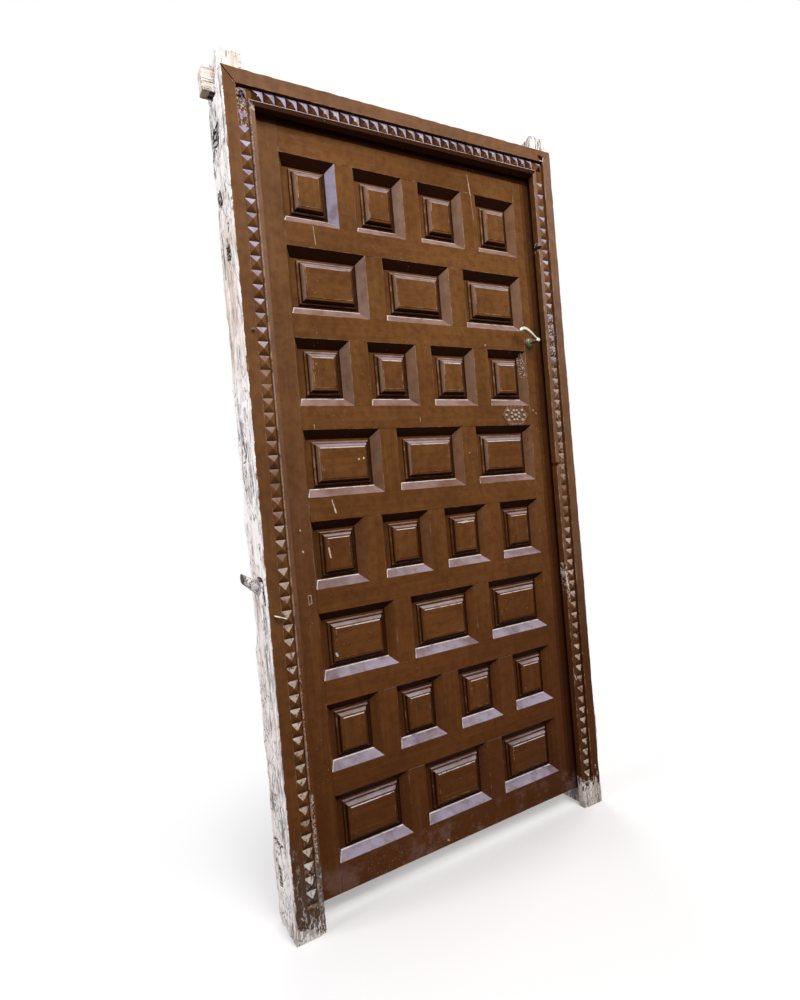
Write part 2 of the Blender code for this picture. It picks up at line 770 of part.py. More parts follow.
def build_lever_set():
    """Outside lever with its spindle, rose, inside lever, follower, case, bolt and keeper."""
    z = lever_z()
    arm_y = LEAF_FRONT - LEVER_OUT
    outside = solid("outside_lever", [lever_arm(arm_y)], "brass")
    neck = [(NECK_R, LEAF_FRONT - FIT), (NECK_R, arm_y - ARM_DEPTH / 3)]
    neck.append((NECK_R * 0.7, arm_y - ARM_DEPTH / 2 + FIT))
    add(outside, [turned(LEVER_X, z, neck, 20)], "neck")
    spindle_end = LEAF_BACK + INSIDE_LEVER_OUT - ARM_DEPTH / 2
    add(outside, [spindle_box(LEAF_FRONT - ROSE_T, spindle_end, 0.0)], "spindle")

    base = LEAF_FRONT - FIT
    profile = [(ROSE_R, base), (ROSE_R, base - ROSE_T * 0.35)]
    profile += [(ROSE_R * 0.86, base - ROSE_T * 0.75), (NECK_R * 1.45, base - ROSE_T)]
    rose = solid("outside_rose", [turned(LEVER_X, z, profile, 24)], "brass")
    hole = NECK_R + FIT
    cut(rose, [turned(LEVER_X, z, [(hole, base - 0.03), (hole, base + 0.01)], 20)], "hole")

    case_back = LEAF_BACK + FIT + CASE_T
    inside = solid("inside_lever", [lever_arm(LEAF_BACK + INSIDE_LEVER_OUT)], "brass")
    hub = [(HUB_R, case_back + FIT), (HUB_R, LEAF_BACK + INSIDE_LEVER_OUT + ARM_DEPTH / 3)]
    hub.append((HUB_R * 0.7, LEAF_BACK + INSIDE_LEVER_OUT + ARM_DEPTH / 2 - FIT))
    add(inside, [turned(LEVER_X, z, hub, 20)], "hub")
    cut(inside, [spindle_box(LEAF_BACK, spindle_end + FIT, FIT)], "socket")

    x0 = LEAF_HALF - CASE_EDGE - CASE_W
    x1 = LEAF_HALF - CASE_EDGE
    z0 = z - CASE_BELOW
    z1 = z + CASE_ABOVE
    case = solid("bolt_case", [box((x0, x1), (LEAF_BACK + FIT, case_back), (z0, z1))], "iron")
    wall = CASE_WALL
    cavity = box(
        (x0 + wall, x1 - wall),
        (LEAF_BACK - OVER, case_back - wall),
        (z0 + wall, z1 - wall),
    )
    cut(case, [cavity], "cavity")
    bolt_low = z0 + wall + FIT
    bolt_y0 = LEAF_BACK + 0.0045
    bolt_y = (bolt_y0, bolt_y0 + BOLT_T)
    bolt_z = (bolt_low, bolt_low + BOLT_H)
    grown_y = (bolt_y[0] - FIT, bolt_y[1] + FIT)
    window_z = (bolt_z[0] + FIT, bolt_z[1] + FIT)
    bolt_z = (bolt_z[0] + 2 * FIT, bolt_z[1])
    cut(case, [box((x1 - 2 * wall, x1 + OVER), grown_y, window_z)], "bolt_window")
    eye = [(SPINDLE_HOLE_R, LEAF_BACK), (SPINDLE_HOLE_R, case_back + OVER)]
    cut(case, [turned(LEVER_X, z, eye, 16)], "spindle_hole")

    bolt = solid("bolt", [box((x1 - BOLT_L, x1), bolt_y, bolt_z)], "iron")
    slot_x = LEVER_X - BOLT_TRAVEL / 2
    slot = box(
        (slot_x - BOLT_SLOT_W / 2, slot_x + BOLT_SLOT_W / 2),
        (bolt_y[0] - OVER, bolt_y[1] + OVER),
        (bolt_z[1] - BOLT_SLOT_D, bolt_z[1] + OVER),
    )
    cut(bolt, [slot], "slot")

    ring = [(FOLLOWER_R, bolt_y[0]), (FOLLOWER_R, bolt_y[1])]
    follower = solid("bolt_follower", [turned(LEVER_X, z, ring, 24)], "iron")
    tilt = -math.radians(LEVER_TURN_DEG / 2)
    flat = [(-FOLLOWER_ARM_W / 2, -FOLLOWER_R * 0.6), (FOLLOWER_ARM_W / 2, -FOLLOWER_R * 0.6)]
    flat += [(FOLLOWER_TIP_W / 2, -FOLLOWER_ARM), (-FOLLOWER_TIP_W / 2, -FOLLOWER_ARM)]
    arm = []
    for x, zz in flat:
        arm.append(
            (
                LEVER_X + x * math.cos(tilt) - zz * math.sin(tilt),
                z + x * math.sin(tilt) + zz * math.cos(tilt),
            )
        )
    add(follower, [slab(arm, bolt_y[0] + FIT, bolt_y[1] - FIT)], "arm")
    cut(follower, [spindle_box(LEAF_BACK, case_back, FIT)], "socket")

    middle_y = (bolt_y[0] + bolt_y[1]) / 2
    middle_z = (bolt_z[0] + bolt_z[1]) / 2
    plate_y = (middle_y - KEEPER_D / 2, middle_y + KEEPER_D / 2)
    plate_z = (middle_z - KEEPER_H / 2, middle_z + KEEPER_H / 2)
    keeper = solid(
        "bolt_keeper",
        [box((REBATE_HALF + FIT, REBATE_HALF + KEEPER_T), plate_y, plate_z)],
        "iron",
    )
    play = KEEPER_HOLE_PLAY
    hole_y = (bolt_y[0] - play, bolt_y[1] + play)
    hole_z = (bolt_z[0] - play, bolt_z[1] + play)
    cut(keeper, [box((REBATE_HALF - OVER, REBATE_HALF + 2 * OVER), hole_y, hole_z)], "hole")
    seat = box(
        (REBATE_HALF - OVER, REBATE_HALF + KEEPER_T + FIT),
        (plate_y[0] - FIT, plate_y[1] + FIT),
        (plate_z[0] - FIT, plate_z[1] + FIT),
    )
    pocket = box((REBATE_HALF - OVER, REBATE_HALF + POCKET_D), hole_y, hole_z)
    return [outside, inside, follower], bolt, [rose, case], keeper, seat, pocket


def build_plate():
    """Six-sided plate on the front of the leaf, with a raised rim and a round boss."""
    low, high = rail_span(PLATE_RAIL)
    z = (low + high) / 2

    def ring(inset, y):
        wide = PLATE_W / 2 - inset * 1.15
        tall = PLATE_H / 2 - inset
        flat = PLATE_FLAT_W / 2 - inset * 0.5
        corners = [(-wide, 0), (-flat, -tall), (flat, -tall)]
        corners += [(wide, 0), (flat, tall), (-flat, tall)]
        return [(PLATE_X + x, y, z + zz) for x, zz in corners]

    base = LEAF_FRONT - FIT
    face = base - PLATE_T
    loops = [ring(0.0, base), ring(0.0, face + 0.0006), ring(0.0010, face)]
    loops += [ring(PLATE_RIM, face), ring(PLATE_RIM + 0.001, face + 0.0009)]
    plate = solid("six_sided_plate", [rings(loops)], "paint")
    boss = [(PLATE_BOSS_R, face + 0.0015), (PLATE_BOSS_R * 0.9, face - PLATE_BOSS_H * 0.3)]
    boss += [(PLATE_BOSS_R * 0.55, face - PLATE_BOSS_H * 0.8)]
    boss += [(PLATE_BOSS_R * 0.2, face - PLATE_BOSS_H)]
    add(plate, [turned(PLATE_X, z, boss, 16)], "boss")
    return plate


def peg_shell(grow):
    """Tapered wooden peg that leans up out of the left jamb's outer face."""
    loops = []
    sides = 8
    slope = PEG_CLIMB / PEG_REACH
    for out in (-PEG_IN_JAMB - grow, 0.0, PEG_REACH):
        share = max(out, 0.0) / PEG_REACH
        radius = PEG_ROOT_R + (PEG_TIP_R - PEG_ROOT_R) * share + grow
        loop = []
        for k in range(sides):
            angle = 2 * math.pi * k / sides
            y = PEG_Y + radius * math.cos(angle)
            z = PEG_Z + out * slope + radius * 1.25 * math.sin(angle)
            loop.append((-OUTER_HALF - out, y, z))
        loops.append(loop)
    return rings(loops)


def build_nails():
    """Upper nail with a round head and lower nail bent over, both in the left jamb."""
    x = -UPPER_NAIL_X
    deep = FRAME_FRONT + NAIL_IN_JAMB
    out = FRAME_FRONT - UPPER_NAIL_OUT
    profile = [(NAIL_R, deep), (NAIL_R, out), (2.2 * NAIL_R, out), (1.8 * NAIL_R, out - NAIL_R)]
    upper = solid("upper_nail", [turned(x, UPPER_NAIL_Z, profile, 10)], "iron")
    x = -LOWER_NAIL_X
    z = LOWER_NAIL_Z
    out = FRAME_FRONT - LOWER_NAIL_OUT
    bend = 3 * NAIL_R
    loops = []
    stations = [(x, deep, z, 0.0), (x, out + bend, z, 0.0)]
    stations.append((x + 0.3 * bend, out + 0.3 * bend, z - 0.1 * bend, 45.0))
    stations.append((x + bend, out, z - 0.35 * bend, 80.0))
    stations.append((x + NAIL_BEND, out - 0.004, z - NAIL_DROP, 80.0))
    for cx, cy, cz, lean in stations:
        turn = math.radians(lean)
        loop = []
        for k in range(8):
            angle = 2 * math.pi * k / 8
            u, v = NAIL_R * math.cos(angle), NAIL_R * math.sin(angle)
            loop.append((cx + u * math.cos(turn), cy + u * math.sin(turn), cz + v))
        loops.append(loop)
    lower = solid("lower_bent_nail", [rings(loops)], "iron")
    hole = NAIL_R + FIT
    end = deep + FIT
    start = FRAME_FRONT - OVER
    holes = []
    for cx, cz in ((-UPPER_NAIL_X, UPPER_NAIL_Z), (-LOWER_NAIL_X, LOWER_NAIL_Z)):
        holes.append(turned(cx, cz, [(hole, end), (hole, start)], 10))
    return upper, lower, holes


def axis_empty(name, location, parent=None):
    """Marker on a joint's axis, to which the moving pieces are tied."""
    made = bpy.data.objects.new(name, None)
    bpy.context.scene.collection.objects.link(made)
    made.empty_display_size = 0.05
    made.location = location
    if parent:
        made.parent = parent
        made.matrix_parent_inverse = Matrix.Translation(parent.location).inverted()
    return made


def tie(pieces, empty, place):
    for piece in pieces:
        piece.parent = empty
        piece.matrix_parent_inverse = Matrix.Translation(place).inverted()


def build():
    for old in list(bpy.data.objects):
        bpy.data.objects.remove(old)

    left = build_jamb("left_jamb", -1)
    right = build_jamb("right_jamb", 1)
    build_head()
    low = BEAD_NOTCH_LOW
    high = BEAD_NOTCH_HIGH
    half = BEAD_NOTCH / 2
    build_bead("right_bead_lower", FIT, low - half, False)
    build_bead("right_bead_middle", low + half, high - half, False)
    build_bead("right_bead_upper", high + half, SOFFIT - MITRE_FIT, True)

    leaf = [build_stile("hinge_stile", -1), build_stile("lever_stile", 1)]
    for index in range(ROW_COUNT + 1):
        name = "rail_%d" % (index + 1)
        if index == 0:
            name = "top_rail"
        if index == ROW_COUNT:
            name = "bottom_rail"
        leaf.append(build_rail(name, index))
    for row in range(ROW_COUNT):
        for place in range(len(openings(row))):
            name = "panel_row%d_%d" % (row + 1, place + 1)
            leaf.append(build_panel(name, row, place))
    leaf.append(build_strap("upper_hinge_strap", UPPER_HINGE_RAIL))
    leaf.append(build_strap("lower_hinge_strap", LOWER_HINGE_RAIL))
    build_pintle("upper_hinge_pintle", UPPER_HINGE_RAIL)
    build_pintle("lower_hinge_pintle", LOWER_HINGE_RAIL)
    shanks = [shank_box(UPPER_HINGE_RAIL, FIT), shank_box(LOWER_HINGE_RAIL, FIT)]
    cut(left, shanks, "pintle_holes")

    turning, bolt, fixed, keeper, seat, pocket = build_lever_set()
    leaf += fixed
    cut(right, [seat], "keeper_seat")
    cut(right, [pocket], "bolt_pocket")
    leaf.append(build_plate())

    solid("wall_peg", [peg_shell(0.0)], "bare")
    cut(left, [peg_shell(FIT)], "peg_hole")
    upper, lower, holes = build_nails()
    cut(left, holes, "nail_holes")

    pin = (PIN_X, PIN_Y, LEAF_BOTTOM)
    swing = axis_empty("leaf_swing_axis", pin)
    tie(leaf, swing, pin)
    spindle = (LEVER_X, 0.0, lever_z())
    turn = axis_empty("lever_turn_axis", spindle, swing)
    tie(turning, turn, spindle)
    tie([bolt], swing, pin)


build()
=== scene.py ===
"""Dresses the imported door: eased timber, moulded panels, worn paint, brass and iron fittings.

Metres, Z up, front towards -Y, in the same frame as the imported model.
"""

import json
import math
import random

import bmesh
import bpy
from bpy.props import FloatProperty, FloatVectorProperty, IntProperty, PointerProperty
from mathutils import Matrix, Vector, noise
from mathutils.geometry import intersect_point_line


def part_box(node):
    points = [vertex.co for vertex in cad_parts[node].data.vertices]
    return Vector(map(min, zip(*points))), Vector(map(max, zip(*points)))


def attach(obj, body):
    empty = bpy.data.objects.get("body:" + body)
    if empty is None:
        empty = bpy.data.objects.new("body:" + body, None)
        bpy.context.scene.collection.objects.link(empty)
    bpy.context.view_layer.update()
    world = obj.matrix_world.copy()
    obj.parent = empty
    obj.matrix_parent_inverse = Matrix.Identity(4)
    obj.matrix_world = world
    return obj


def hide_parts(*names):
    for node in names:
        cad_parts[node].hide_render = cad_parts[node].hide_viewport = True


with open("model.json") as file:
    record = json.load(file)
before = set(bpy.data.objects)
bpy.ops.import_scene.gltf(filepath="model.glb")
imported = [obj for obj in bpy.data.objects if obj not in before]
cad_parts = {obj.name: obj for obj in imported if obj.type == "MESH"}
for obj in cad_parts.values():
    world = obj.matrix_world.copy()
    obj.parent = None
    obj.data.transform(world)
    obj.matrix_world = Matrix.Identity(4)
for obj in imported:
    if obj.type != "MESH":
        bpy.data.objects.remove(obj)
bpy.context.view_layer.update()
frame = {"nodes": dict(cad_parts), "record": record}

bl_info = {
    "name": "Panelled Door",
    "version": (1, 0, 0),
    "blender": (4, 5, 0),
    "location": "View3D > Sidebar > Door",
    "description": "Builds the visible pieces and finishes of a panelled wooden door",
    "category": "Object",
}

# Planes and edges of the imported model
LEAF_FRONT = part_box("hinge_stile")[0].y
LEAF_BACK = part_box("hinge_stile")[1].y
FRAME_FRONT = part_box("right_jamb")[0].y
FRAME_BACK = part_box("right_jamb")[1].y
OUTER_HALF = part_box("right_jamb")[1].x
HORN_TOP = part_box("right_jamb")[1].z
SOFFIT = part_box("head_beam")[0].z
STOP_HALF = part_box("right_bead_lower")[0].x
STOP_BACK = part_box("right_bead_lower")[1].y
HEAD_TOP = SOFFIT + OUTER_HALF - STOP_HALF  # of the head's mitred front
STUD_MIDDLE = 0.0275  # middle of the carved band, from the opening
STUD_FLOOR = FRAME_FRONT + 0.010
FILLET_HALF = STOP_HALF + 0.0135
STUD_TIP = FRAME_FRONT + 0.0015
SLOPE_BACK = LEAF_FRONT + 0.0200  # inner edge of the slopes round the panels
FLAT_LOW = SOFFIT + 0.0415  # lower edge of the head's flat band
TONGUE = 0.0124  # panel's edge behind the edge of its opening
BODIES = frame["record"]["behaviour"]["bodies"]
BODY_OF = {node: body for body, nodes in BODIES.items() for node in nodes}


def colour(name, description, value):
    return FloatVectorProperty(
        name=name, description=description, subtype="COLOR", size=3, min=0, max=1, default=value
    )


def length(name, description, value):
    return FloatProperty(
        name=name, description=description, unit="LENGTH", min=0, precision=4, default=value
    )


class DoorSizes(bpy.types.PropertyGroup):
    """Sizes of the dressing that a user would change."""

    leaf_arris: length("Leaf arris", "Rounding of the leaf's front edges", 0.0009)
    frame_arris: length("Frame arris", "Rounding of the frame's front edges", 0.0016)
    stud_tip: length("Stud tip", "Flat worn on the tip of each carved pyramid", 0.0014)
    side_wear: length("Side wear", "Unevenness of the jambs' weathered outer sides", 0.0048)
    pit_depth: length("Pit depth", "How deep the gouges of the left side go", 0.0024)
    horn_wear: length("Horn wear", "Depth of the breaks on top of the jambs", 0.012)
    head_lean: length("Head lean", "How far the head climbs from left to right", 0.0115)
    head_spare: length("Head spare", "Extra height of the head's flat band", 0.0030)
    ovolo_steps: IntProperty(
        name="Ovolo steps", description="Facets round a panel's moulding", min=3, max=12, default=6
    )


class DoorColours(bpy.types.PropertyGroup):
    """Colours of the finishes."""

    # The paint darkens from paint_high near the head to paint_low near the floor; this gradient is painted shade.
    paint_high: colour("Paint, high", "Brown paint towards the head", (0.148, 0.0645, 0.0205))
    paint_low: colour("Paint, low", "Brown paint towards the floor", (0.128, 0.0435, 0.0112))
    # paint_dark also serves as painted shade low on the right of the leaf and on the right jamb.
    paint_dark: colour("Paint, dark", "Old paint in streaks and hollows", (0.060, 0.020, 0.007))
    paint_light: colour("Paint, light", "Thin paint between the streaks", (0.215, 0.096, 0.032))
    paint_worn: colour("Paint, worn", "Paint rubbed thin along the edges", (0.300, 0.190, 0.125))
    # shade is painted shade: the dark colour laid on slopes that face down, in recesses and margins, under the head
    # and beside the bead. It also darkens the open mitre and the hole in the head.
    shade: colour("Shade", "Unfaded paint on slopes that face down", (0.0165, 0.0036, 0.0013))
    # The two dust colours stand for dust and also a painted sheen: the sky's reflection on slopes that face up.
    dust_and_sheen: colour("Dust, high", "Dust on slopes that face up, towards the head", (0.320, 0.222, 0.205))
    low_sheen_and_dust: colour("Dust, low", "Dust on slopes that face up, towards the floor", (0.440, 0.405, 0.520))
    # The next two colours are painted sheen: lavender and warm reflections of the sky laid on the slopes and flats
    # that face it.
    painted_sheen: colour("Bloom", "Faded film on the slopes that take the most weather", (0.410, 0.385, 0.530))
    painted_sheen_warm: colour("Bloom, warm", "Faded film elsewhere", (0.400, 0.300, 0.260))
    # stud_pale is the tone of the painted highlight on the upper slopes of the studs lower down, and of the frame's
    # dust there.
    stud_pale: colour("Worn studs", "Upper slopes of the studs lower down", (0.400, 0.280, 0.185))
    # rubbed is the colour of painted highlight lines; the face layer rub says where they go.
    rubbed: colour("Rubbed edges", "Thin bright lines on the edges that catch the light", (0.700, 0.620, 0.585))
    # The next colour is painted shade on the lever's slopes that face down.
    metal_underside_shade: colour("Grime", "Under side of the lever", (0.045, 0.036, 0.018))
    # timber_shade is painted shade on bare timber that faces down.
    timber_shade: colour("Timber, under", "Under side of bare timber", (0.210, 0.150, 0.080))
    weathered: colour("Weathered", "Paint gone grey near the floor", (0.046, 0.030, 0.027))
    chip: colour("Chip", "Filler and bare wood in chips", (0.620, 0.520, 0.440))
    timber_pale: colour("Timber, pale", "Bleached bare timber", (0.900, 0.870, 0.855))
    timber_grey: colour("Timber, grey", "Weathered grey fibres", (0.520, 0.495, 0.490))
    timber_warm: colour("Timber, warm", "Less weathered wood", (0.640, 0.520, 0.430))
    timber_fresh: colour("Timber, fresh", "Bare strip along the jamb's edge", (0.900, 0.845, 0.820))
    crack: colour("Crack", "Open cracks and joints", (0.030, 0.022, 0.017))
    brass: colour("Brass", "Lever and rose", (0.840, 0.800, 0.680))
    tarnish: colour("Tarnish", "Dull film on the brass", (0.300, 0.270, 0.160))
    verdigris: colour("Verdigris", "Green film on the rose", (0.085, 0.095, 0.040))
    iron: colour("Iron", "Hinges, case and nails", (0.110, 0.098, 0.090))
    bright_iron: colour("Iron, bright", "Bent nail, rubbed bright", (0.740, 0.710, 0.680))
    rust: colour("Rust", "Rust on the iron", (0.190, 0.085, 0.040))


# ---------------------------------------------------------------- shader helpers


def put(tree, kind, values=None, **settings):
    """Adds a node, its own settings, and its inputs as numbers or links."""
    made = tree.nodes.new(kind)
    for name, value in settings.items():
        setattr(made, name, value)
    for socket, value in (values or {}).items():
        if isinstance(value, bpy.types.NodeSocket):
            tree.links.new(value, made.inputs[socket])
        else:
            made.inputs[socket].default_value = value
    return made


def calc(tree, operation, first, second=0.0, clamp=False):
    values = {0: first, 1: second}
    return put(tree, "ShaderNodeMath", values, operation=operation, use_clamp=clamp).outputs[0]


def fade(tree, value, low, high):
    """0 at low, 1 at high, smooth between."""
    values = {"Value": value, "From Min": low, "From Max": high}
    return put(tree, "ShaderNodeMapRange", values, interpolation_type="SMOOTHSTEP").outputs[0]


def mix(tree, factor, first, second, mode="MIX"):
    values = {0: factor, 6: first, 7: second}
    return put(tree, "ShaderNodeMix", values, data_type="RGBA", blend_type=mode).outputs[2]


def grain_noise(tree, vector, scale, detail=3.0, roughness=0.55, distortion=0.0):
    values = {"Vector": vector, "Scale": scale, "Detail": detail}
    values.update({"Roughness": roughness, "Distortion": distortion})
    return put(tree, "ShaderNodeTexNoise", values).outputs["Fac"]


def stretch(tree, vector, scale):
    values = {0: vector, 1: scale}
    return put(tree, "ShaderNodeVectorMath", values, operation="MULTIPLY").outputs[0]


def parts_of(tree, vector):
    return put(tree, "ShaderNodeSeparateXYZ", {0: vector}).outputs


def attribute(tree, name):
    return put(tree, "ShaderNodeAttribute", attribute_name=name).outputs["Fac"]


def new_group(name, inputs, outputs):
    """Empty node group with its sockets; returns it with its input and output nodes."""
    tree = bpy.data.node_groups.new(name, "ShaderNodeTree")
    for label, kind in inputs:
        tree.interface.new_socket(label, in_out="INPUT", socket_type="NodeSocket" + kind)
    for label, kind in outputs:
        tree.interface.new_socket(label, in_out="OUTPUT", socket_type="NodeSocket" + kind)
    return tree, tree.nodes.new("NodeGroupInput").outputs, tree.nodes.new("NodeGroupOutput").inputs


def place(tree, name, values):
    """Puts a shared effect into a tree, building it the first time."""
    shared = bpy.data.node_groups.get(name) or EFFECTS[name](name)
    return put(tree, "ShaderNodeGroup", values, node_tree=shared).outputs


def wood_figure(name):
    """Streaks that run with the grain: level where Upright is 0, upright where it is 1."""
    tree, given, out = new_group(
        name, [("Vector", "Vector"), ("Upright", "Float")], [("Streak", "Float"), ("Fine", "Float")]
    )
    values = {0: given["Upright"], 4: (0.05, 1.0, 1.0), 5: (1.0, 1.0, 0.05)}
    squeeze = put(tree, "ShaderNodeMix", values, data_type="VECTOR").outputs[1]
    along = stretch(tree, given["Vector"], squeeze)
    tree.links.new(grain_noise(tree, along, 80, 4, 0.6, 0.5), out["Streak"])
    tree.links.new(grain_noise(tree, along, 380, 3, 0.6), out["Fine"])
    return tree


def paint_coat(name):
    """Slow colour drift, brushed lumps and small pale specks of a hand-painted coat."""
    tree, given, out = new_group(
        name, [("Vector", "Vector")], [("Drift", "Float"), ("Lumps", "Float"), ("Specks", "Float")]
    )
    vector = given["Vector"]
    tree.links.new(grain_noise(tree, vector, 4.5, 4, 0.6), out["Drift"])
    tree.links.new(grain_noise(tree, vector, 48, 3, 0.5), out["Lumps"])
    grit = fade(tree, grain_noise(tree, vector, 260, 2, 0.5), 0.69, 0.75)
    patch = fade(tree, grain_noise(tree, vector, 11, 3, 0.6), 0.51, 0.66)
    tree.links.new(calc(tree, "MULTIPLY", grit, patch), out["Specks"])
    return tree


def slope_masks(name):
    """Dust and painted sheen on slopes that face up, thinner in patches, and painted shade on slopes that face down.
    """
    tree, given, out = new_group(
        name, [("Vector", "Vector")], [("Mask", "Float"), ("Under", "Float"), ("Patch", "Float")]
    )
    up = parts_of(tree, tree.nodes.new("ShaderNodeNewGeometry").outputs["Normal"])["Z"]
    patch = grain_noise(tree, given["Vector"], 26, 4, 0.65)
    thick = fade(tree, patch, 0.25, 0.62)
    thin = calc(tree, "MULTIPLY_ADD", thick, 0.55)
    thin.node.inputs[2].default_value = 0.45
    tree.links.new(calc(tree, "MULTIPLY", fade(tree, up, 0.25, 0.6), thin), out["Mask"])
    tree.links.new(fade(tree, up, -0.22, -0.60), out["Under"])
    tree.links.new(thin, out["Patch"])
    return tree


def arris_wear(name):
    """Broken wear along the eased edges, which carry the attribute arris; edges marked above 1 also carry a painted
    highlight.
    """
    tree, given, out = new_group(
        name, [("Vector", "Vector"), ("Amount", "Float")], [("Mask", "Float")]
    )
    patch = grain_noise(tree, given["Vector"], 34, 5, 0.7)
    edge = attribute(tree, "arris")
    extra = calc(tree, "MULTIPLY_ADD", edge, 0.3)
    extra.node.inputs[2].default_value = -0.3
    lifted = calc(tree, "ADD", calc(tree, "ADD", patch, given["Amount"]), extra)
    worn = calc(tree, "MULTIPLY", fade(tree, lifted, 0.56, 0.74), edge, True)
    tree.links.new(worn, out["Mask"])
    return tree


def grey_timber(name):
    """Bare timber out in the weather: bleached fibres, grey stains and long cracks."""
    tree, given, out = new_group(
        name,
        [("Vector", "Vector"), ("Upright", "Float")],
        [("Pale", "Float"), ("Warm", "Float"), ("Cracks", "Float"), ("Height", "Float")],
    )
    values = {0: given["Upright"], 4: (0.045, 1.0, 1.0), 5: (1.0, 1.0, 0.045)}
    squeeze = put(tree, "ShaderNodeMix", values, data_type="VECTOR").outputs[1]
    along = stretch(tree, given["Vector"], squeeze)
    fibres = grain_noise(tree, along, 190, 4, 0.65, 0.4)
    stains = grain_noise(tree, given["Vector"], 17, 5, 0.7)
    pale = fade(tree, calc(tree, "ADD", fibres, stains), 0.66, 0.96)
    damp = calc(tree, "MULTIPLY", fade(tree, parts_of(tree, given["Vector"])["Z"], 1.5, 0.2), 0.09)
    loose = stretch(tree, given["Vector"], (1.0, 1.0, 0.45))
    flecks = fade(tree, grain_noise(tree, loose, 95, 4, 0.7, 0.8), 0.575, 0.665)
    pale = calc(tree, "MULTIPLY", pale, calc(tree, "SUBTRACT", 1.0, calc(tree, "MULTIPLY", flecks, 0.85)))
    warm = fade(tree, grain_noise(tree, along, 24, 4, 0.6), 0.50, 0.68)
    wander = grain_noise(tree, along, 44, 3, 0.6, 1.2)
    middle = calc(tree, "ABSOLUTE", calc(tree, "SUBTRACT", wander, 0.5))
    gate = fade(tree, grain_noise(tree, given["Vector"], 13, 3, 0.6), 0.43, 0.53)
    line = calc(tree, "SUBTRACT", 1.0, fade(tree, middle, 0.008, 0.024))
    cracks = calc(tree, "MULTIPLY", line, gate)
    pits = fade(tree, grain_noise(tree, along, 120, 2, 0.5), 0.66, 0.74)
    cracks = calc(tree, "MAXIMUM", cracks, calc(tree, "MULTIPLY", pits, gate))
    shaken = put(tree, "ShaderNodeTexNoise", {"Vector": loose, "Scale": 60.0, "Detail": 2.0})
    shift = put(tree, "ShaderNodeVectorMath", {0: shaken.outputs["Color"], 3: 0.012}, operation="SCALE")
    bent = put(tree, "ShaderNodeVectorMath", {0: loose, 1: shift.outputs[0]}, operation="ADD")
    values = {"Vector": bent.outputs[0], "Scale": 92.0}
    net = put(tree, "ShaderNodeTexVoronoi", values, feature="DISTANCE_TO_EDGE").outputs["Distance"]
    thread = calc(tree, "SUBTRACT", 1.0, fade(tree, net, 0.01, 0.09))
    some = calc(tree, "ADD", grain_noise(tree, given["Vector"], 27, 4, 0.7), damp)
    some = fade(tree, some, 0.49, 0.62)
    net = calc(tree, "MULTIPLY", calc(tree, "MULTIPLY", thread, some), 0.65)
    cracks = calc(tree, "MAXIMUM", cracks, net)
    height = calc(tree, "SUBTRACT", fibres, calc(tree, "MULTIPLY", cracks, 1.6))
    tree.links.new(pale, out["Pale"])
    tree.links.new(warm, out["Warm"])
    tree.links.new(cracks, out["Cracks"])
    tree.links.new(height, out["Height"])
    return tree


def stroke(name):
    """Mask of one mark: a line on the front, from Start to End, with a ragged edge."""
    tree, given, out = new_group(
        name,
        [("Vector", "Vector"), ("Start", "Vector"), ("End", "Vector"), ("Width", "Float")],
        [("Mask", "Float")],
    )

    def vector(operation, first, second):
        return put(tree, "ShaderNodeVectorMath", {0: first, 1: second}, operation=operation)

    flat = stretch(tree, given["Vector"], (1.0, 0.0, 1.0))
    run = vector("SUBTRACT", given["End"], given["Start"]).outputs[0]
    off = vector("SUBTRACT", flat, given["Start"]).outputs[0]
    along = vector("DOT_PRODUCT", off, run).outputs["Value"]
    whole = vector("DOT_PRODUCT", run, run).outputs["Value"]
    share = calc(tree, "DIVIDE", along, whole, True)
    foot = put(tree, "ShaderNodeVectorMath", {0: run, 3: share}, operation="SCALE").outputs[0]
    gap = vector("DISTANCE", off, foot).outputs["Value"]
    ragged = calc(tree, "MULTIPLY_ADD", grain_noise(tree, given["Vector"], 240, 3, 0.7), 1.9)
    ragged.node.inputs[2].default_value = -0.05
    reach = calc(tree, "MULTIPLY", given["Width"], ragged)
    near = calc(tree, "DIVIDE", gap, reach)
    tree.links.new(calc(tree, "SUBTRACT", 1.0, fade(tree, near, 0.75, 1.05)), out["Mask"])
    return tree


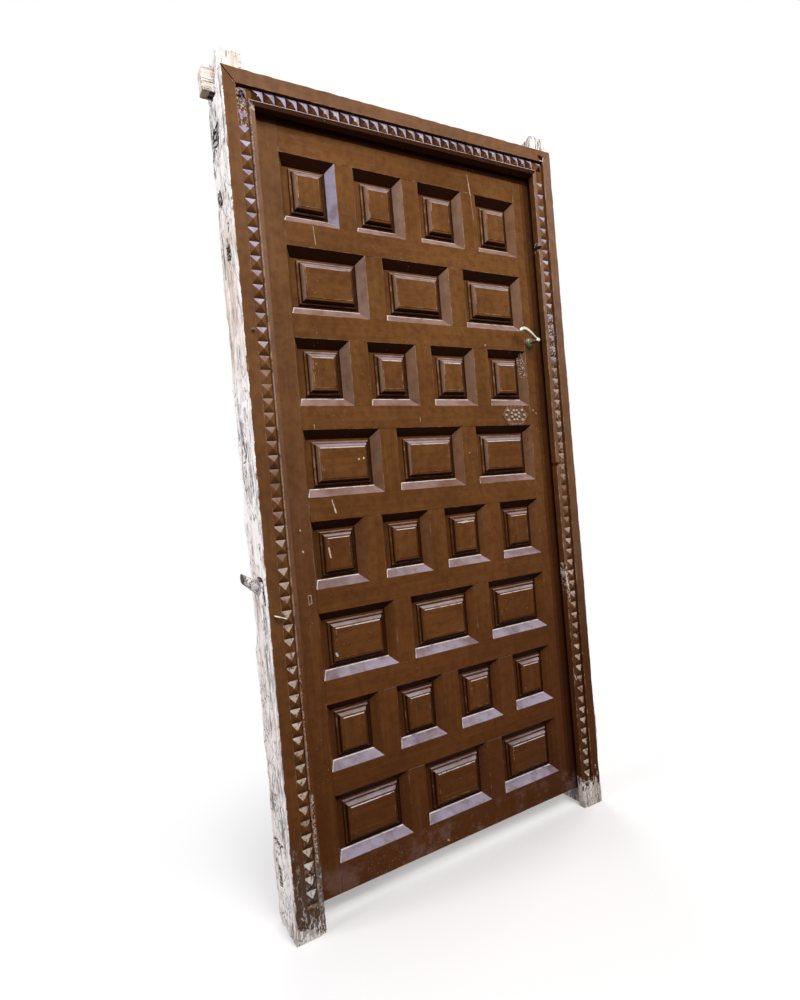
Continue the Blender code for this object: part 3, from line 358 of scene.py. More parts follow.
LEAF_PALE_MARKS = [
    # start x, z, end x, z, half width, strength
    (0.2030, 1.930, 0.2062, 1.905, 0.0009, 0.50),
    (0.2062, 1.905, 0.2098, 1.872, 0.0013, 0.75),
    (0.2098, 1.872, 0.2150, 1.800, 0.0008, 0.35),
    (-0.2984, 1.706, -0.2955, 1.660, 0.0011, 0.45),
    (-0.3112, 1.021, -0.3060, 1.000, 0.0016, 0.8),
    (-0.3060, 1.000, -0.3034, 0.989, 0.0026, 0.9),
    (-0.3284, 0.902, -0.3253, 0.878, 0.0022, 0.9),
    (-0.2236, 1.1205, -0.2229, 1.1208, 0.0028, 0.9),
    (-0.2095, 1.1222, -0.2089, 1.1226, 0.0030, 0.9),
    (0.0870, 0.926, 0.1060, 0.927, 0.0030, 0.9),
    (-0.3316, 0.637, -0.3296, 0.632, 0.0034, 0.9),
    (0.2186, 1.4353, 0.2200, 1.4340, 0.0030, 0.45),
    (0.3863, 1.2435, 0.3870, 1.2425, 0.0030, 0.45),
    (0.3977, 1.2342, 0.3985, 1.2330, 0.0022, 0.45),
    (-0.3995, 0.902, -0.3990, 0.901, 0.0026, 0.9),
    (-0.4022, 0.955, -0.4018, 0.954, 0.0020, 0.9),
    (0.1285, 1.1230, 0.1300, 1.1215, 0.0018, 0.6),
    (-0.3416, 1.2110, -0.3412, 1.2010, 0.0009, 0.5),
    (-0.0290, 1.2260, -0.0285, 1.2140, 0.0010, 0.5),
    (-0.3735, 0.9700, -0.3723, 0.9114, 0.0008, 0.35),
    (-0.3720, 0.9050, -0.3700, 0.8053, 0.0012, 0.45),
    (-0.0540, 0.0670, -0.0500, 0.0650, 0.0026, 0.6),
    (-0.3965, 0.794, -0.3885, 0.794, 0.0012, 0.55),
    (-0.3885, 0.794, -0.3880, 0.774, 0.0012, 0.55),
    (-0.3880, 0.774, -0.3955, 0.772, 0.0012, 0.45),
    (-0.3955, 0.772, -0.3965, 0.794, 0.0010, 0.40),
]
LEAF_WORN_MARKS = [
    (0.3600, 1.4100, 0.3640, 1.3520, 0.0090, 1.0),
]
FRAME_CHIPS = [
    (0.4630, 1.5300, 0.4630, 1.3950, 0.0150, 0.75),
    (0.4640, 1.3950, 0.4640, 1.0300, 0.0090, 0.35),
    (-0.4430, 0.3300, -0.4425, 0.0600, 0.0042, 0.75),
    (-0.4460, 0.6400, -0.4460, 0.4000, 0.0022, 0.50),
    (0.4370, 0.7600, 0.4440, 0.6500, 0.0070, 0.9),
    (-0.4660, 1.9800, -0.4630, 1.9100, 0.0130, 0.6),
    (-0.4800, 1.9950, -0.4700, 1.9850, 0.0050, 0.9),
    (-0.4470, 1.9560, -0.4470, 1.7300, 0.0024, 0.45),
    (-0.4440, 1.9600, -0.4400, 1.9450, 0.0060, 0.8),
    (0.4370, 1.7500, 0.4360, 1.7300, 0.0060, 0.7),
]
FRAME_HOLES = [
    (-0.5080, 2.0270, -0.4790, 1.9960, 0.0014, 1.0),
    (-0.4770, 1.9935, -0.4560, 1.9720, 0.0011, 0.9),
    (0.4610, 2.0180, 0.4760, 2.0170, 0.0062, 1.0),
    (0.4670, 2.0130, 0.4720, 2.0110, 0.0070, 1.0),
]
FRAME_SCRATCHES = [
    (0.4362, 0.7380, 0.4400, 0.7080, 0.0022, 0.9),
    (0.4390, 0.7150, 0.4450, 0.6800, 0.0020, 0.9),
    (0.4390, 0.4150, 0.4440, 0.4000, 0.0020, 0.8),
    (0.4800, 2.0190, 0.4770, 2.0060, 0.0017, 0.9),
    (0.4770, 2.0060, 0.4640, 2.0070, 0.0012, 0.7),
]

SIDE_PRESS = 0.35  # depth along the side counts this much, as the pits run deep and short
SIDE_PITS = [
    # start y, z, end y, z, half height, strength
    (0.0200, 1.926, 0.0275, 1.890, 0.0095, 1.0),
    (0.0000, 1.991, 0.0450, 1.994, 0.0040, 1.0),
    (0.0480, 1.880, 0.0500, 1.862, 0.0065, 1.0),
    (0.0420, 1.776, 0.0330, 1.750, 0.0075, 1.0),
    (-0.0089, 1.688, -0.0085, 1.670, 0.0032, 0.9),
    (0.0058, 1.640, -0.0004, 1.606, 0.0048, 1.0),
    (0.0144, 1.130, 0.0200, 1.127, 0.0018, 0.9),
    (-0.0082, 1.002, -0.0080, 0.990, 0.0024, 0.8),
    (-0.0300, 0.933, -0.0270, 0.895, 0.0028, 0.9),
    (-0.0060, 0.851, -0.0320, 0.841, 0.0050, 1.0),
    (-0.0320, 0.841, -0.0403, 0.794, 0.0056, 1.0),
    (0.0266, 0.320, 0.0180, 0.315, 0.0022, 0.9),
    (0.0320, 0.210, 0.0100, 0.207, 0.0060, 1.0),
    (0.0277, 0.148, 0.0270, 0.100, 0.0036, 0.9),
]


def marks_group(name, marks, behind=0.0):
    """Masks of a list of marks together, on what lies before a depth in Y."""
    tree, given, out = new_group(name, [("Vector", "Vector")], [("Mask", "Float")])
    total = None
    for x0, z0, x1, z1, half, strength in marks:
        values = {"Vector": given["Vector"], "Start": (x0, 0, z0), "End": (x1, 0, z1)}
        values["Width"] = half
        mask = calc(tree, "MULTIPLY", place(tree, "Stroke", values)["Mask"], strength)
        total = mask if total is None else calc(tree, "MAXIMUM", total, mask)
    depth = parts_of(tree, given["Vector"])["Y"]
    total = calc(tree, "MULTIPLY", total, fade(tree, depth, behind + 0.002, behind))
    tree.links.new(total, out["Mask"])
    return tree


def pale_marks(name):
    """Drips, scratches and chips seen on the leaf."""
    return marks_group(name, LEAF_PALE_MARKS)


def worn_marks(name):
    """Patches rubbed by the hand and the foot."""
    return marks_group(name, LEAF_WORN_MARKS)


def frame_chips(name):
    """Studs and edges of the frame where the paint has come off in flakes."""
    return marks_group(name, FRAME_CHIPS, STOP_BACK)


def frame_holes(name):
    """Open mitre and the hole beside the right one."""
    return marks_group(name, FRAME_HOLES, STOP_BACK)


def frame_scratches(name):
    """Scratches down to the wood on the stop bead, and the rim of the hole."""
    return marks_group(name, FRAME_SCRATCHES, STOP_BACK)


def side_pits(name):
    """Gouges and the cleft above the peg in the left jamb's outer side."""
    pressed = [(y0 * SIDE_PRESS, z0, y1 * SIDE_PRESS, *rest) for y0, z0, y1, *rest in SIDE_PITS]
    return marks_group(name, pressed)


def bare_zones(name):
    """Where the frame has no paint: outer sides, back, feet and horns."""
    tree, given, out = new_group(
        name,
        [("Vector", "Vector")],
        [(label, "Float") for label in ("Mask", "Strip", "Edge", "Weathered", "Warm")],
    )
    vector = given["Vector"]
    x, y, z = (parts_of(tree, vector)[axis] for axis in "XYZ")
    across = calc(tree, "ABSOLUTE", x)
    ragged = calc(tree, "SUBTRACT", grain_noise(tree, vector, 38, 5, 0.7), 0.5)
    fine = calc(tree, "SUBTRACT", grain_noise(tree, vector, 150, 3, 0.6), 0.5)

    def zone(value, edge, loose):
        moved = calc(tree, "MULTIPLY_ADD", ragged, loose)
        tree.links.new(value, moved.node.inputs[2])
        return fade(tree, moved, edge - 0.0009, edge + 0.0009)

    side = zone(across, OUTER_HALF - 0.0026, 0.009)
    behind = fade(tree, y, FRAME_FRONT + 0.005, FRAME_FRONT + 0.008)
    outer = fade(tree, across, OUTER_HALF - 0.012, OUTER_HALF - 0.010)
    side = calc(tree, "MAXIMUM", side, calc(tree, "MULTIPLY", behind, outer))
    back = zone(y, FRAME_BACK - 0.003, 0.008)
    horn = calc(tree, "MULTIPLY", zone(z, HEAD_TOP - 0.0012, 0.006), fade(tree, y, -0.042, -0.036))
    left = fade(tree, x, 0.1, -0.1)
    edge = calc(tree, "MULTIPLY_ADD", left, -0.045)
    edge.node.inputs[2].default_value = 0.074
    depth = calc(tree, "SUBTRACT", edge, z)
    shreds = stretch(tree, vector, (1.0, 1.0, 0.16))
    torn = calc(tree, "SUBTRACT", grain_noise(tree, shreds, 120, 4, 0.7), 0.5)
    loose = calc(tree, "ADD", calc(tree, "MULTIPLY", ragged, 0.15), calc(tree, "MULTIPLY", torn, 0.17))
    ragged_foot = calc(tree, "ADD", depth, calc(tree, "ADD", loose, calc(tree, "MULTIPLY", fine, 0.07)))
    foot = fade(tree, ragged_foot, -0.004, 0.006)
    tenon = fade(tree, across, OUTER_HALF + 0.006, OUTER_HALF + 0.010)
    low = fade(tree, calc(tree, "ADD", z, calc(tree, "MULTIPLY", ragged, 0.25)), 0.27, 0.06)
    total = side
    for mask in (back, horn, foot):
        total = calc(tree, "MAXIMUM", total, mask)
    strip = calc(tree, "MULTIPLY", zone(calc(tree, "MULTIPLY", y, -1.0), -FRAME_FRONT - 0.0125, 0.012), side)
    bent = calc(tree, "MULTIPLY_ADD", ragged, 0.012)
    tree.links.new(calc(tree, "MULTIPLY", y, -1.0), bent.node.inputs[2])
    from_edge = calc(tree, "ABSOLUTE", calc(tree, "ADD", bent, FRAME_FRONT + 0.0125))
    edge = calc(tree, "MULTIPLY", calc(tree, "SUBTRACT", 1.0, fade(tree, from_edge, 0.0005, 0.0016)), side)
    tree.links.new(edge, out["Edge"])
    tree.links.new(total, out["Mask"])
    tree.links.new(strip, out["Strip"])
    tree.links.new(calc(tree, "MULTIPLY", low, left), out["Weathered"])
    stained = calc(tree, "MULTIPLY", fade(tree, z, 1.26, 1.44), fade(tree, z, 1.78, 1.60))
    stained = calc(tree, "MULTIPLY", stained, side)
    warm = calc(tree, "MAXIMUM", horn, tenon)
    for mask in (stained, calc(tree, "MULTIPLY", foot, 0.75)):
        warm = calc(tree, "MAXIMUM", warm, mask)
    tree.links.new(warm, out["Warm"])
    return tree


def metal_film(name):
    """Patchy dullness and fine scratches of handled metal."""
    tree, given, out = new_group(
        name, [("Vector", "Vector")], [("Film", "Float"), ("Scratches", "Float")]
    )
    tree.links.new(fade(tree, grain_noise(tree, given["Vector"], 95, 5, 0.7), 0.40, 0.66), out["Film"])
    tree.links.new(grain_noise(tree, given["Vector"], 900, 3, 0.6), out["Scratches"])
    return tree


EFFECTS = {
    "Wood Figure": wood_figure,
    "Paint Coat": paint_coat,
    "Slope Dust Sheen And Shade": slope_masks,
    "Arris Wear": arris_wear,
    "Grey Timber": grey_timber,
    "Stroke": stroke,
    "Pale Marks": pale_marks,
    "Worn Marks": worn_marks,
    "Frame Chips": frame_chips,
    "Frame Holes": frame_holes,
    "Frame Scratches": frame_scratches,
    "Side Pits": side_pits,
    "Bare Zones": bare_zones,
    "Metal Film": metal_film,
}


# ---------------------------------------------------------------- finishes


def tint(name):
    return (*getattr(bpy.context.scene.door_colours, name), 1.0)


def start_material(name):
    made = bpy.data.materials.new(name)
    made.use_nodes = True
    tree = made.node_tree
    return made, tree, tree.nodes["Principled BSDF"], tree.nodes.new("ShaderNodeTexCoord").outputs["Object"]


def bump(tree, shader, height, distance):
    values = {"Height": height, "Strength": 1.0, "Distance": distance}
    tree.links.new(put(tree, "ShaderNodeBump", values).outputs[0], shader.inputs["Normal"])


def painted_wood(name, on_frame):
    """Glossy brown paint on timber; the frame's paint gives way to bare wood in places."""
    made, tree, shader, vector = start_material(name)
    upright = attribute(tree, "upright")
    figure = place(tree, "Wood Figure", {"Vector": vector, "Upright": upright})
    coat = place(tree, "Paint Coat", {"Vector": vector})
    # Painted shade: the paint darkens from the head towards the floor.
    height_up = fade(tree, parts_of(tree, vector)["Z"], -0.60 if on_frame else -0.05, 1.75)
    base = mix(tree, height_up, tint("paint_low"), tint("paint_high"))
    # Darker still close to the floor.
    darker_near_floor = calc(tree, "MULTIPLY", fade(tree, parts_of(tree, vector)["Z"], 0.55, 0.10), 0.10 if on_frame else 0.45)
    base = mix(tree, darker_near_floor, base, tint("paint_dark"))
    drift = calc(tree, "MULTIPLY", fade(tree, coat["Drift"], 0.38, 0.70), 0.44)
    base = mix(tree, drift, base, tint("paint_dark"))
    streak = calc(tree, "MULTIPLY", fade(tree, figure["Streak"], 0.44, 0.72), 0.20)
    base = mix(tree, streak, base, tint("paint_dark"))
    thin = calc(tree, "MULTIPLY", fade(tree, figure["Streak"], 0.50, 0.32), 0.16)
    base = mix(tree, thin, base, tint("paint_light"))
    mottle = calc(tree, "MULTIPLY", fade(tree, coat["Lumps"], 0.42, 0.66), 0.34)
    base = mix(tree, mottle, base, tint("paint_dark"))
    where = parts_of(tree, vector)
    right = fade(tree, where["X"], 0.42, 0.44) if on_frame else fade(tree, where["X"], 0.10, 0.42)
    # Painted shade: darker low on the right, where less light falls.
    right_low_shade = calc(tree, "MULTIPLY", right, fade(tree, where["Z"], 1.15, 0.35))
    base = mix(tree, calc(tree, "MULTIPLY", right_low_shade, 0.65 if on_frame else 0.38), base, tint("paint_dark"))
    amount = calc(tree, "MULTIPLY_ADD", fade(tree, where["Z"], 0.8, 1.4), 0.0 if on_frame else 0.07)
    amount.node.inputs[2].default_value = 0.10 if on_frame else 0.04
    worn = place(tree, "Arris Wear", {"Vector": vector, "Amount": amount})
    base = mix(tree, worn["Mask"], base, tint("paint_worn"))
    # Edges marked with an arris above 1.2 (left fillet, head fillet, plate) get the pale chip colour where worn: wear
    # together with a painted highlight.
    raised = fade(tree, attribute(tree, "arris"), 1.2, 1.5)
    raised = calc(tree, "MULTIPLY", calc(tree, "MULTIPLY", raised, worn["Mask"]), 0.32)
    base = mix(tree, raised, base, tint("chip"))
    slopes = place(tree, "Slope Dust Sheen And Shade", {"Vector": vector})
    # Dust and painted sheen on slopes that face up, in patches on the leaf.
    dust_and_sheen = slopes["Mask"]
    tone = mix(tree, fade(tree, parts_of(tree, vector)["Z"], 0.45, 1.15), tint("stud_pale" if on_frame else "low_sheen_and_dust"), tint("dust_and_sheen"))
    settled = calc(tree, "MULTIPLY", dust_and_sheen, 0.62 if on_frame else 0.72)
    if not on_frame:
        uneven = calc(tree, "MULTIPLY_ADD", fade(tree, grain_noise(tree, vector, 7, 4, 0.6), 0.36, 0.58), 0.55)
        uneven.node.inputs[2].default_value = 0.45
        settled = calc(tree, "MULTIPLY", settled, uneven)
    base = mix(tree, settled, base, tone)
    # Painted shade on slopes that face down.
    base = mix(tree, calc(tree, "MULTIPLY", slopes["Under"], 0.80 if on_frame else 0.95), base, tint("shade"))
    # Painted shade where the layer deep is set: recesses, margins, ovolos, stud slopes, under the head and beside the
    # bead.
    base = mix(tree, calc(tree, "MULTIPLY", attribute(tree, "deep"), 0.88), base, tint("shade"))
    # Painted sheen from the face layer for sheen, thinner in patches: lavender high up, warm lower down.
    sheen_level = attribute(tree, "painted_sheen")
    if on_frame:
        crumbs = fade(tree, grain_noise(tree, vector, 120, 4, 0.7), 0.50, 0.36)
        crumbs = calc(tree, "MULTIPLY", crumbs, fade(tree, where["Z"], 1.60, 0.20))
        clean = calc(tree, "MULTIPLY", fade(tree, where["Z"], 0.72, 0.95), fade(tree, where["Z"], 1.52, 1.30))
        lost = calc(tree, "MAXIMUM", crumbs, calc(tree, "MULTIPLY", clean, 0.42))
        sheen_level = calc(tree, "MULTIPLY", sheen_level, calc(tree, "SUBTRACT", 1.0, lost))
    film = calc(tree, "MULTIPLY", sheen_level, slopes["Patch"])
    strong = fade(tree, sheen_level, 0.32, 0.60)
    upper = fade(tree, parts_of(tree, vector)["Z"], 0.4, 1.1)
    faint_limits = (0.32, 0.40) if on_frame else (0.18, 0.26)
    film = calc(tree, "MULTIPLY", film, calc(tree, "MAXIMUM", upper, fade(tree, sheen_level, *faint_limits)))
    if on_frame:
        # On the frame the painted sheen turns from a pale highlight low down to lavender high up.
        cool = fade(tree, where["Z"], 1.05, 1.75)
        stud_highlight_tone = mix(tree, slopes["Patch"], tint("stud_pale"), tint("chip"))
        full = mix(tree, cool, stud_highlight_tone, tint("painted_sheen"))
        faint = tint("painted_sheen_warm")
    else:
        full, faint = tint("painted_sheen"), tint("painted_sheen_warm")
    base = mix(tree, film, base, mix(tree, strong, faint, full))
    # Painted highlight lines where the layer rub is set.
    broken = fade(tree, grain_noise(tree, vector, 42, 4, 0.65), 0.30, 0.52)
    base = mix(tree, calc(tree, "MULTIPLY", attribute(tree, "rub"), broken), base, tint("rubbed"))
    base = mix(tree, calc(tree, "MULTIPLY", coat["Specks"], 0.55), base, tint("chip"))
    rough = calc(tree, "MULTIPLY_ADD", figure["Streak"], 0.22)
    rough.node.inputs[2].default_value = 0.24
    relief = calc(tree, "MULTIPLY_ADD", figure["Streak"], 0.55)
    tree.links.new(calc(tree, "MULTIPLY", coat["Lumps"], 0.45), relief.node.inputs[2])
    relief = calc(tree, "ADD", relief, calc(tree, "MULTIPLY", figure["Fine"], 0.16))
    if on_frame:
        chips = place(tree, "Frame Chips", {"Vector": vector})["Mask"]
        flakes = fade(tree, grain_noise(tree, vector, 150, 4, 0.7), 0.49, 0.57)
        base = mix(tree, calc(tree, "MULTIPLY", chips, 0.60), base, tint("paint_dark"))
        cold = calc(tree, "MULTIPLY", fade(tree, grain_noise(tree, vector, 60, 2, 0.5), 0.44, 0.56), cool)
        flaked = mix(tree, cold, tint("chip"), tint("painted_sheen"))
        base = mix(tree, calc(tree, "MULTIPLY", chips, flakes), base, flaked)
        bare = place(tree, "Bare Zones", {"Vector": vector})
        zone = bare["Mask"]
        base = mix(tree, calc(tree, "MULTIPLY", bare["Weathered"], 0.50), base, tint("weathered"))
        shreds = stretch(tree, vector, (1.0, 1.0, 0.30))
        grit = fade(tree, grain_noise(tree, shreds, 130, 5, 0.75), 0.54, 0.62)
        # On the weathered foot, bare timber shows in grit and where the painted sheen lies, paler where the sheen is
        # stronger.
        bald = calc(tree, "MAXIMUM", grit, calc(tree, "MULTIPLY", sheen_level, 1.1), True)
        bald = calc(tree, "MULTIPLY", calc(tree, "MULTIPLY", bald, bare["Weathered"]), 0.85)
        base = mix(tree, bald, base, mix(tree, sheen_level, tint("timber_grey"), tint("timber_pale")))
        timber = place(tree, "Grey Timber", {"Vector": vector, "Upright": upright})
        wood = mix(tree, timber["Pale"], tint("timber_grey"), tint("timber_pale"))
        wood = mix(tree, calc(tree, "MULTIPLY", timber["Warm"], 0.80), wood, tint("timber_warm"))
        wood = mix(tree, calc(tree, "MULTIPLY", bare["Strip"], 0.75), wood, tint("timber_fresh"))
        split = calc(tree, "SUBTRACT", 0.92, calc(tree, "MULTIPLY", bare["Strip"], 0.6))
        wood = mix(tree, calc(tree, "MULTIPLY", timber["Cracks"], split), wood, tint("crack"))
        wood = mix(tree, calc(tree, "MULTIPLY", bare["Edge"], 0.45), wood, tint("weathered"))
        lime = calc(tree, "MULTIPLY", bare["Warm"], fade(tree, figure["Streak"], 0.40, 0.62))
        wood = mix(tree, calc(tree, "MULTIPLY", lime, 0.95), wood, tint("timber_warm"))
        # Painted shade on bare timber that faces down.
        wood = mix(tree, calc(tree, "MULTIPLY", slopes["Under"], 0.75), wood, tint("timber_shade"))
        pressed = calc(tree, "MULTIPLY", where["Y"], SIDE_PRESS)
        flat = put(tree, "ShaderNodeCombineXYZ", {"X": pressed, "Z": where["Z"]}).outputs[0]
        pits = place(tree, "Side Pits", {"Vector": flat})["Mask"]
        crumbled = calc(tree, "MULTIPLY_ADD", fade(tree, grain_noise(tree, flat, 135, 4, 0.75), 0.40, 0.52), 0.75)
        crumbled.node.inputs[2].default_value = 0.25
        pits = calc(tree, "MULTIPLY", pits, crumbled)
        pits = calc(tree, "MULTIPLY", pits, fade(tree, where["X"], -0.495, -0.503))
        pits = calc(tree, "MULTIPLY", pits, fade(tree, where["X"], -0.524, -0.520))
        wood = mix(tree, pits, wood, tint("crack"))
        base = mix(tree, zone, base, wood)
        holes = place(tree, "Frame Holes", {"Vector": vector})["Mask"]
        base = mix(tree, holes, base, tint("shade"))
        scratched = place(tree, "Frame Scratches", {"Vector": vector})["Mask"]
        base = mix(tree, scratched, base, tint("chip"))
        rough = calc(tree, "MAXIMUM", rough, calc(tree, "MULTIPLY", zone, 0.85))
        bare_relief = calc(tree, "MULTIPLY", timber["Height"], 1.7)
        swap = put(tree, "ShaderNodeMix", {0: zone, 2: relief, 3: bare_relief}, data_type="FLOAT")
        relief = swap.outputs[0]
    else:
        flat_front = fade(tree, parts_of(tree, vector)["Y"], LEAF_FRONT + 0.003, LEAF_FRONT + 0.001)
        rubbed = place(tree, "Worn Marks", {"Vector": vector})["Mask"]
        gaps = fade(tree, grain_noise(tree, vector, 300, 3, 0.65), 0.50, 0.58)
        gaps = calc(tree, "MULTIPLY", gaps, fade(tree, grain_noise(tree, vector, 75, 4, 0.7), 0.40, 0.56))
        flaked = calc(tree, "MULTIPLY", rubbed, gaps)
        base = mix(tree, calc(tree, "MULTIPLY", rubbed, 0.45), base, tint("paint_dark"))
        base = mix(tree, calc(tree, "MULTIPLY", flaked, 0.65), base, tint("chip"))
        kicked = calc(tree, "MULTIPLY", fade(tree, parts_of(tree, vector)["Z"], 0.135, 0.095), flat_front)
        smears = fade(tree, grain_noise(tree, vector, 15, 5, 0.7), 0.48, 0.64)
        base = mix(tree, calc(tree, "MULTIPLY", calc(tree, "MULTIPLY", smears, kicked), 0.20), base, tint("dust_and_sheen"))
        grit = fade(tree, grain_noise(tree, vector, 250, 4, 0.7), 0.60, 0.68)
        grit = calc(tree, "MULTIPLY", grit, fade(tree, grain_noise(tree, vector, 21, 3, 0.6), 0.50, 0.60))
        base = mix(tree, calc(tree, "MULTIPLY", calc(tree, "MULTIPLY", grit, kicked), 0.75), base, tint("dust_and_sheen"))
        pale = place(tree, "Pale Marks", {"Vector": vector})["Mask"]
        base = mix(tree, pale, base, tint("chip"))
        rough = calc(tree, "ADD", rough, calc(tree, "MULTIPLY", rubbed, 0.25), True)
    rough = calc(tree, "MAXIMUM", rough, calc(tree, "MULTIPLY", dust_and_sheen, 0.46))
    joint = attribute(tree, "joint")
    base = mix(tree, calc(tree, "MULTIPLY", joint, 0.8), base, tint("crack"))
    tree.links.new(base, shader.inputs["Base Color"])
    tree.links.new(rough, shader.inputs["Roughness"])
    shader.inputs["Specular IOR Level"].default_value = 0.02
    bump(tree, shader, relief, 0.0009)
    return made


def leaf_paint(name):
    return painted_wood(name, False)


def frame_paint(name):
    return painted_wood(name, True)


def bare_timber(name):
    """Unpainted weathered wood of the wall peg."""
    made, tree, shader, vector = start_material(name)
    turned = put(tree, "ShaderNodeMapping", {"Vector": vector, "Rotation": (0, math.radians(-36), 0)})
    timber = place(tree, "Grey Timber", {"Vector": turned.outputs[0], "Upright": 1.0})
    pale = calc(tree, "MULTIPLY", timber["Pale"], 0.75)
    wood = mix(tree, pale, tint("timber_grey"), tint("timber_pale"))
    wood = mix(tree, calc(tree, "MULTIPLY", timber["Warm"], 0.4), wood, tint("timber_warm"))
    hollow = fade(tree, parts_of(tree, vector)["X"], -0.5425, -0.5460)
    dark = calc(tree, "MAXIMUM", timber["Cracks"], hollow)
    splits = fade(tree, grain_noise(tree, stretch(tree, turned.outputs[0], (1.0, 1.0, 0.09)), 150, 3, 0.6), 0.54, 0.60)
    dark = calc(tree, "MAXIMUM", dark, calc(tree, "MULTIPLY", splits, 0.90))
    wood = mix(tree, calc(tree, "MULTIPLY", dark, 0.96), wood, tint("crack"))
    tree.links.new(wood, shader.inputs["Base Color"])
    rough = calc(tree, "MULTIPLY_ADD", timber["Pale"], 0.2)
    rough.node.inputs[2].default_value = 0.7
    tree.links.new(rough, shader.inputs["Roughness"])
    bump(tree, shader, timber["Height"], 0.0013)
    return made


def handled_metal(name, clean, dull, rough_low, rough_high, metallic, share=1.0):
    made, tree, shader, vector = start_material(name)
    film = place(tree, "Metal Film", {"Vector": vector})
    base = mix(tree, calc(tree, "MULTIPLY", film["Film"], share), tint(clean), tint(dull))
    # Painted shade on metal slopes that face down.
    under = place(tree, "Slope Dust Sheen And Shade", {"Vector": vector})["Under"]
    base = mix(tree, calc(tree, "MULTIPLY", under, 0.85), base, tint("metal_underside_shade"))
    tree.links.new(base, shader.inputs["Base Color"])
    rough = calc(tree, "MULTIPLY_ADD", film["Film"], rough_high - rough_low)
    rough.node.inputs[2].default_value = rough_low
    tree.links.new(rough, shader.inputs["Roughness"])
    shader.inputs["Metallic"].default_value = metallic
    relief = calc(tree, "MULTIPLY_ADD", film["Scratches"], 0.3)
    tree.links.new(film["Film"], relief.node.inputs[2])
    bump(tree, shader, relief, 0.00025)
    return made


def worn_brass(name):
    return handled_metal(name, "brass", "tarnish", 0.26, 0.46, 1.0, 0.35)


def dull_brass(name):
    return handled_metal(name, "tarnish", "verdigris", 0.30, 0.60, 1.0)


def rusted_iron(name):
    return handled_metal(name, "iron", "rust", 0.42, 0.85, 0.8)


def rubbed_iron(name):
    return handled_metal(name, "bright_iron", "iron", 0.38, 0.70, 0.5, 0.35)


FINISHES = {
    "leaf_paint": leaf_paint,
    "frame_paint": frame_paint,
    "bare_timber": bare_timber,
    "worn_brass": worn_brass,
    "dull_brass": dull_brass,
    "rusted_iron": rusted_iron,
    "rubbed_iron": rubbed_iron,
}


def finish_of(name):
    return bpy.data.materials.get(name) or FINISHES[name](name)


# ---------------------------------------------------------------- mesh helpers


# Besides arris, upright and joint, the layers carry painted sheen, painted shade (deep) and painted highlight lines
# (rub).
LAYERS = ("arris", "upright", "joint", "painted_sheen", "deep", "rub")


def new_work():
    """Empty bmesh with the layers that the finishes read."""
    work = bmesh.new()
    for label in LAYERS:
        work.faces.layers.float.new(label)
    return work


def copy_of(node, tidy=0.0):
    """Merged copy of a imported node, its flat areas joined again into single faces."""
    work = new_work()
    work.from_mesh(frame["nodes"][node].data)
    for label in LAYERS:
        if work.faces.layers.float.get(label) is None:
            work.faces.layers.float.new(label)
    bmesh.ops.remove_doubles(work, verts=work.verts, dist=2e-5)
    bmesh.ops.dissolve_limit(
        work, angle_limit=math.radians(0.4), verts=work.verts, edges=work.edges
    )
    if tidy:
        bmesh.ops.dissolve_degenerate(work, dist=tidy, edges=work.edges)
    return work


def paint_layer(work, label, faces, value=1.0):
    layer = work.faces.layers.float[label]
    for face in faces:
        face[layer] = value


def ease(work, edges, width, segments=2):
    """Rounds edges and marks the new faces as worn arrises."""
    made = bmesh.ops.bevel(
        work,
        geom=edges,
        offset=width,
        offset_type="OFFSET",
        affect="EDGES",
        segments=segments,
        profile=0.5,
        material=-1,
        clamp_overlap=False,
    )
    paint_layer(work, "arris", made["faces"])
    return made["faces"]


def sharp_edges(work, test, angle=25):
    limit = math.radians(angle)
    picked = []
    for edge in work.edges:
        if len(edge.link_faces) == 2 and edge.calc_face_angle(0) > limit:
            if test(edge.verts[0].co) and test(edge.verts[1].co):
                picked.append(edge)
    return picked


def slice_faces(work, test, axis, stops):
    """Cuts the faces that pass a test at each stop along an axis."""
    normal = Vector((axis == 0, axis == 1, axis == 2))
    for stop in stops:
        faces = [face for face in work.faces if test(face)]
        geom = set(faces)
        for face in faces:
            geom.update(face.edges)
            geom.update(face.verts)
        bmesh.ops.bisect_plane(
            work, geom=list(geom), dist=1e-6, plane_co=normal * stop, plane_no=normal
        )


def spaced(low, high, pitch):
    count = int((high - low) / pitch)
    return [low + pitch * (i + 0.5) for i in range(count)]


def settle(name, work, finish, *nodes, body=None, smooth_angle=32):
    """Turns a bmesh into a finished piece that rides on its body and stands for its nodes."""
    bmesh.ops.recalc_face_normals(work, faces=work.faces)
    limit = math.radians(smooth_angle)
    for face in work.faces:
        face.smooth = True
    for edge in work.edges:
        edge.smooth = len(edge.link_faces) == 2 and edge.calc_face_angle(0) < limit
    mesh = bpy.data.meshes.new(name)
    work.to_mesh(mesh)
    work.free()
    piece = bpy.data.objects.new(name, mesh)
    bpy.context.scene.collection.objects.link(piece)
    mesh.materials.append(finish_of(finish))
    weigh = piece.modifiers.new("weighted_normals", "WEIGHTED_NORMAL")
    weigh.keep_sharp = True
    weigh.weight = 80
    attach(piece, body or BODY_OF[nodes[0]])
    if nodes:
        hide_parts(*nodes)
    return piece


def dome(work, middle, radius, height, along, segments=12):
    """Low round head on a flat place, bulging along a direction."""
    turn = Vector((0, 0, 1)).rotation_difference(Vector(along)).to_matrix().to_4x4()
    matrix = Matrix.Translation(middle) @ turn @ Matrix.Diagonal((radius, radius, height, 1))
    ball = bmesh.ops.create_uvsphere(
        work, u_segments=segments, v_segments=8, radius=1.0, matrix=matrix
    )
    return ball["verts"]


# ---------------------------------------------------------------- frame


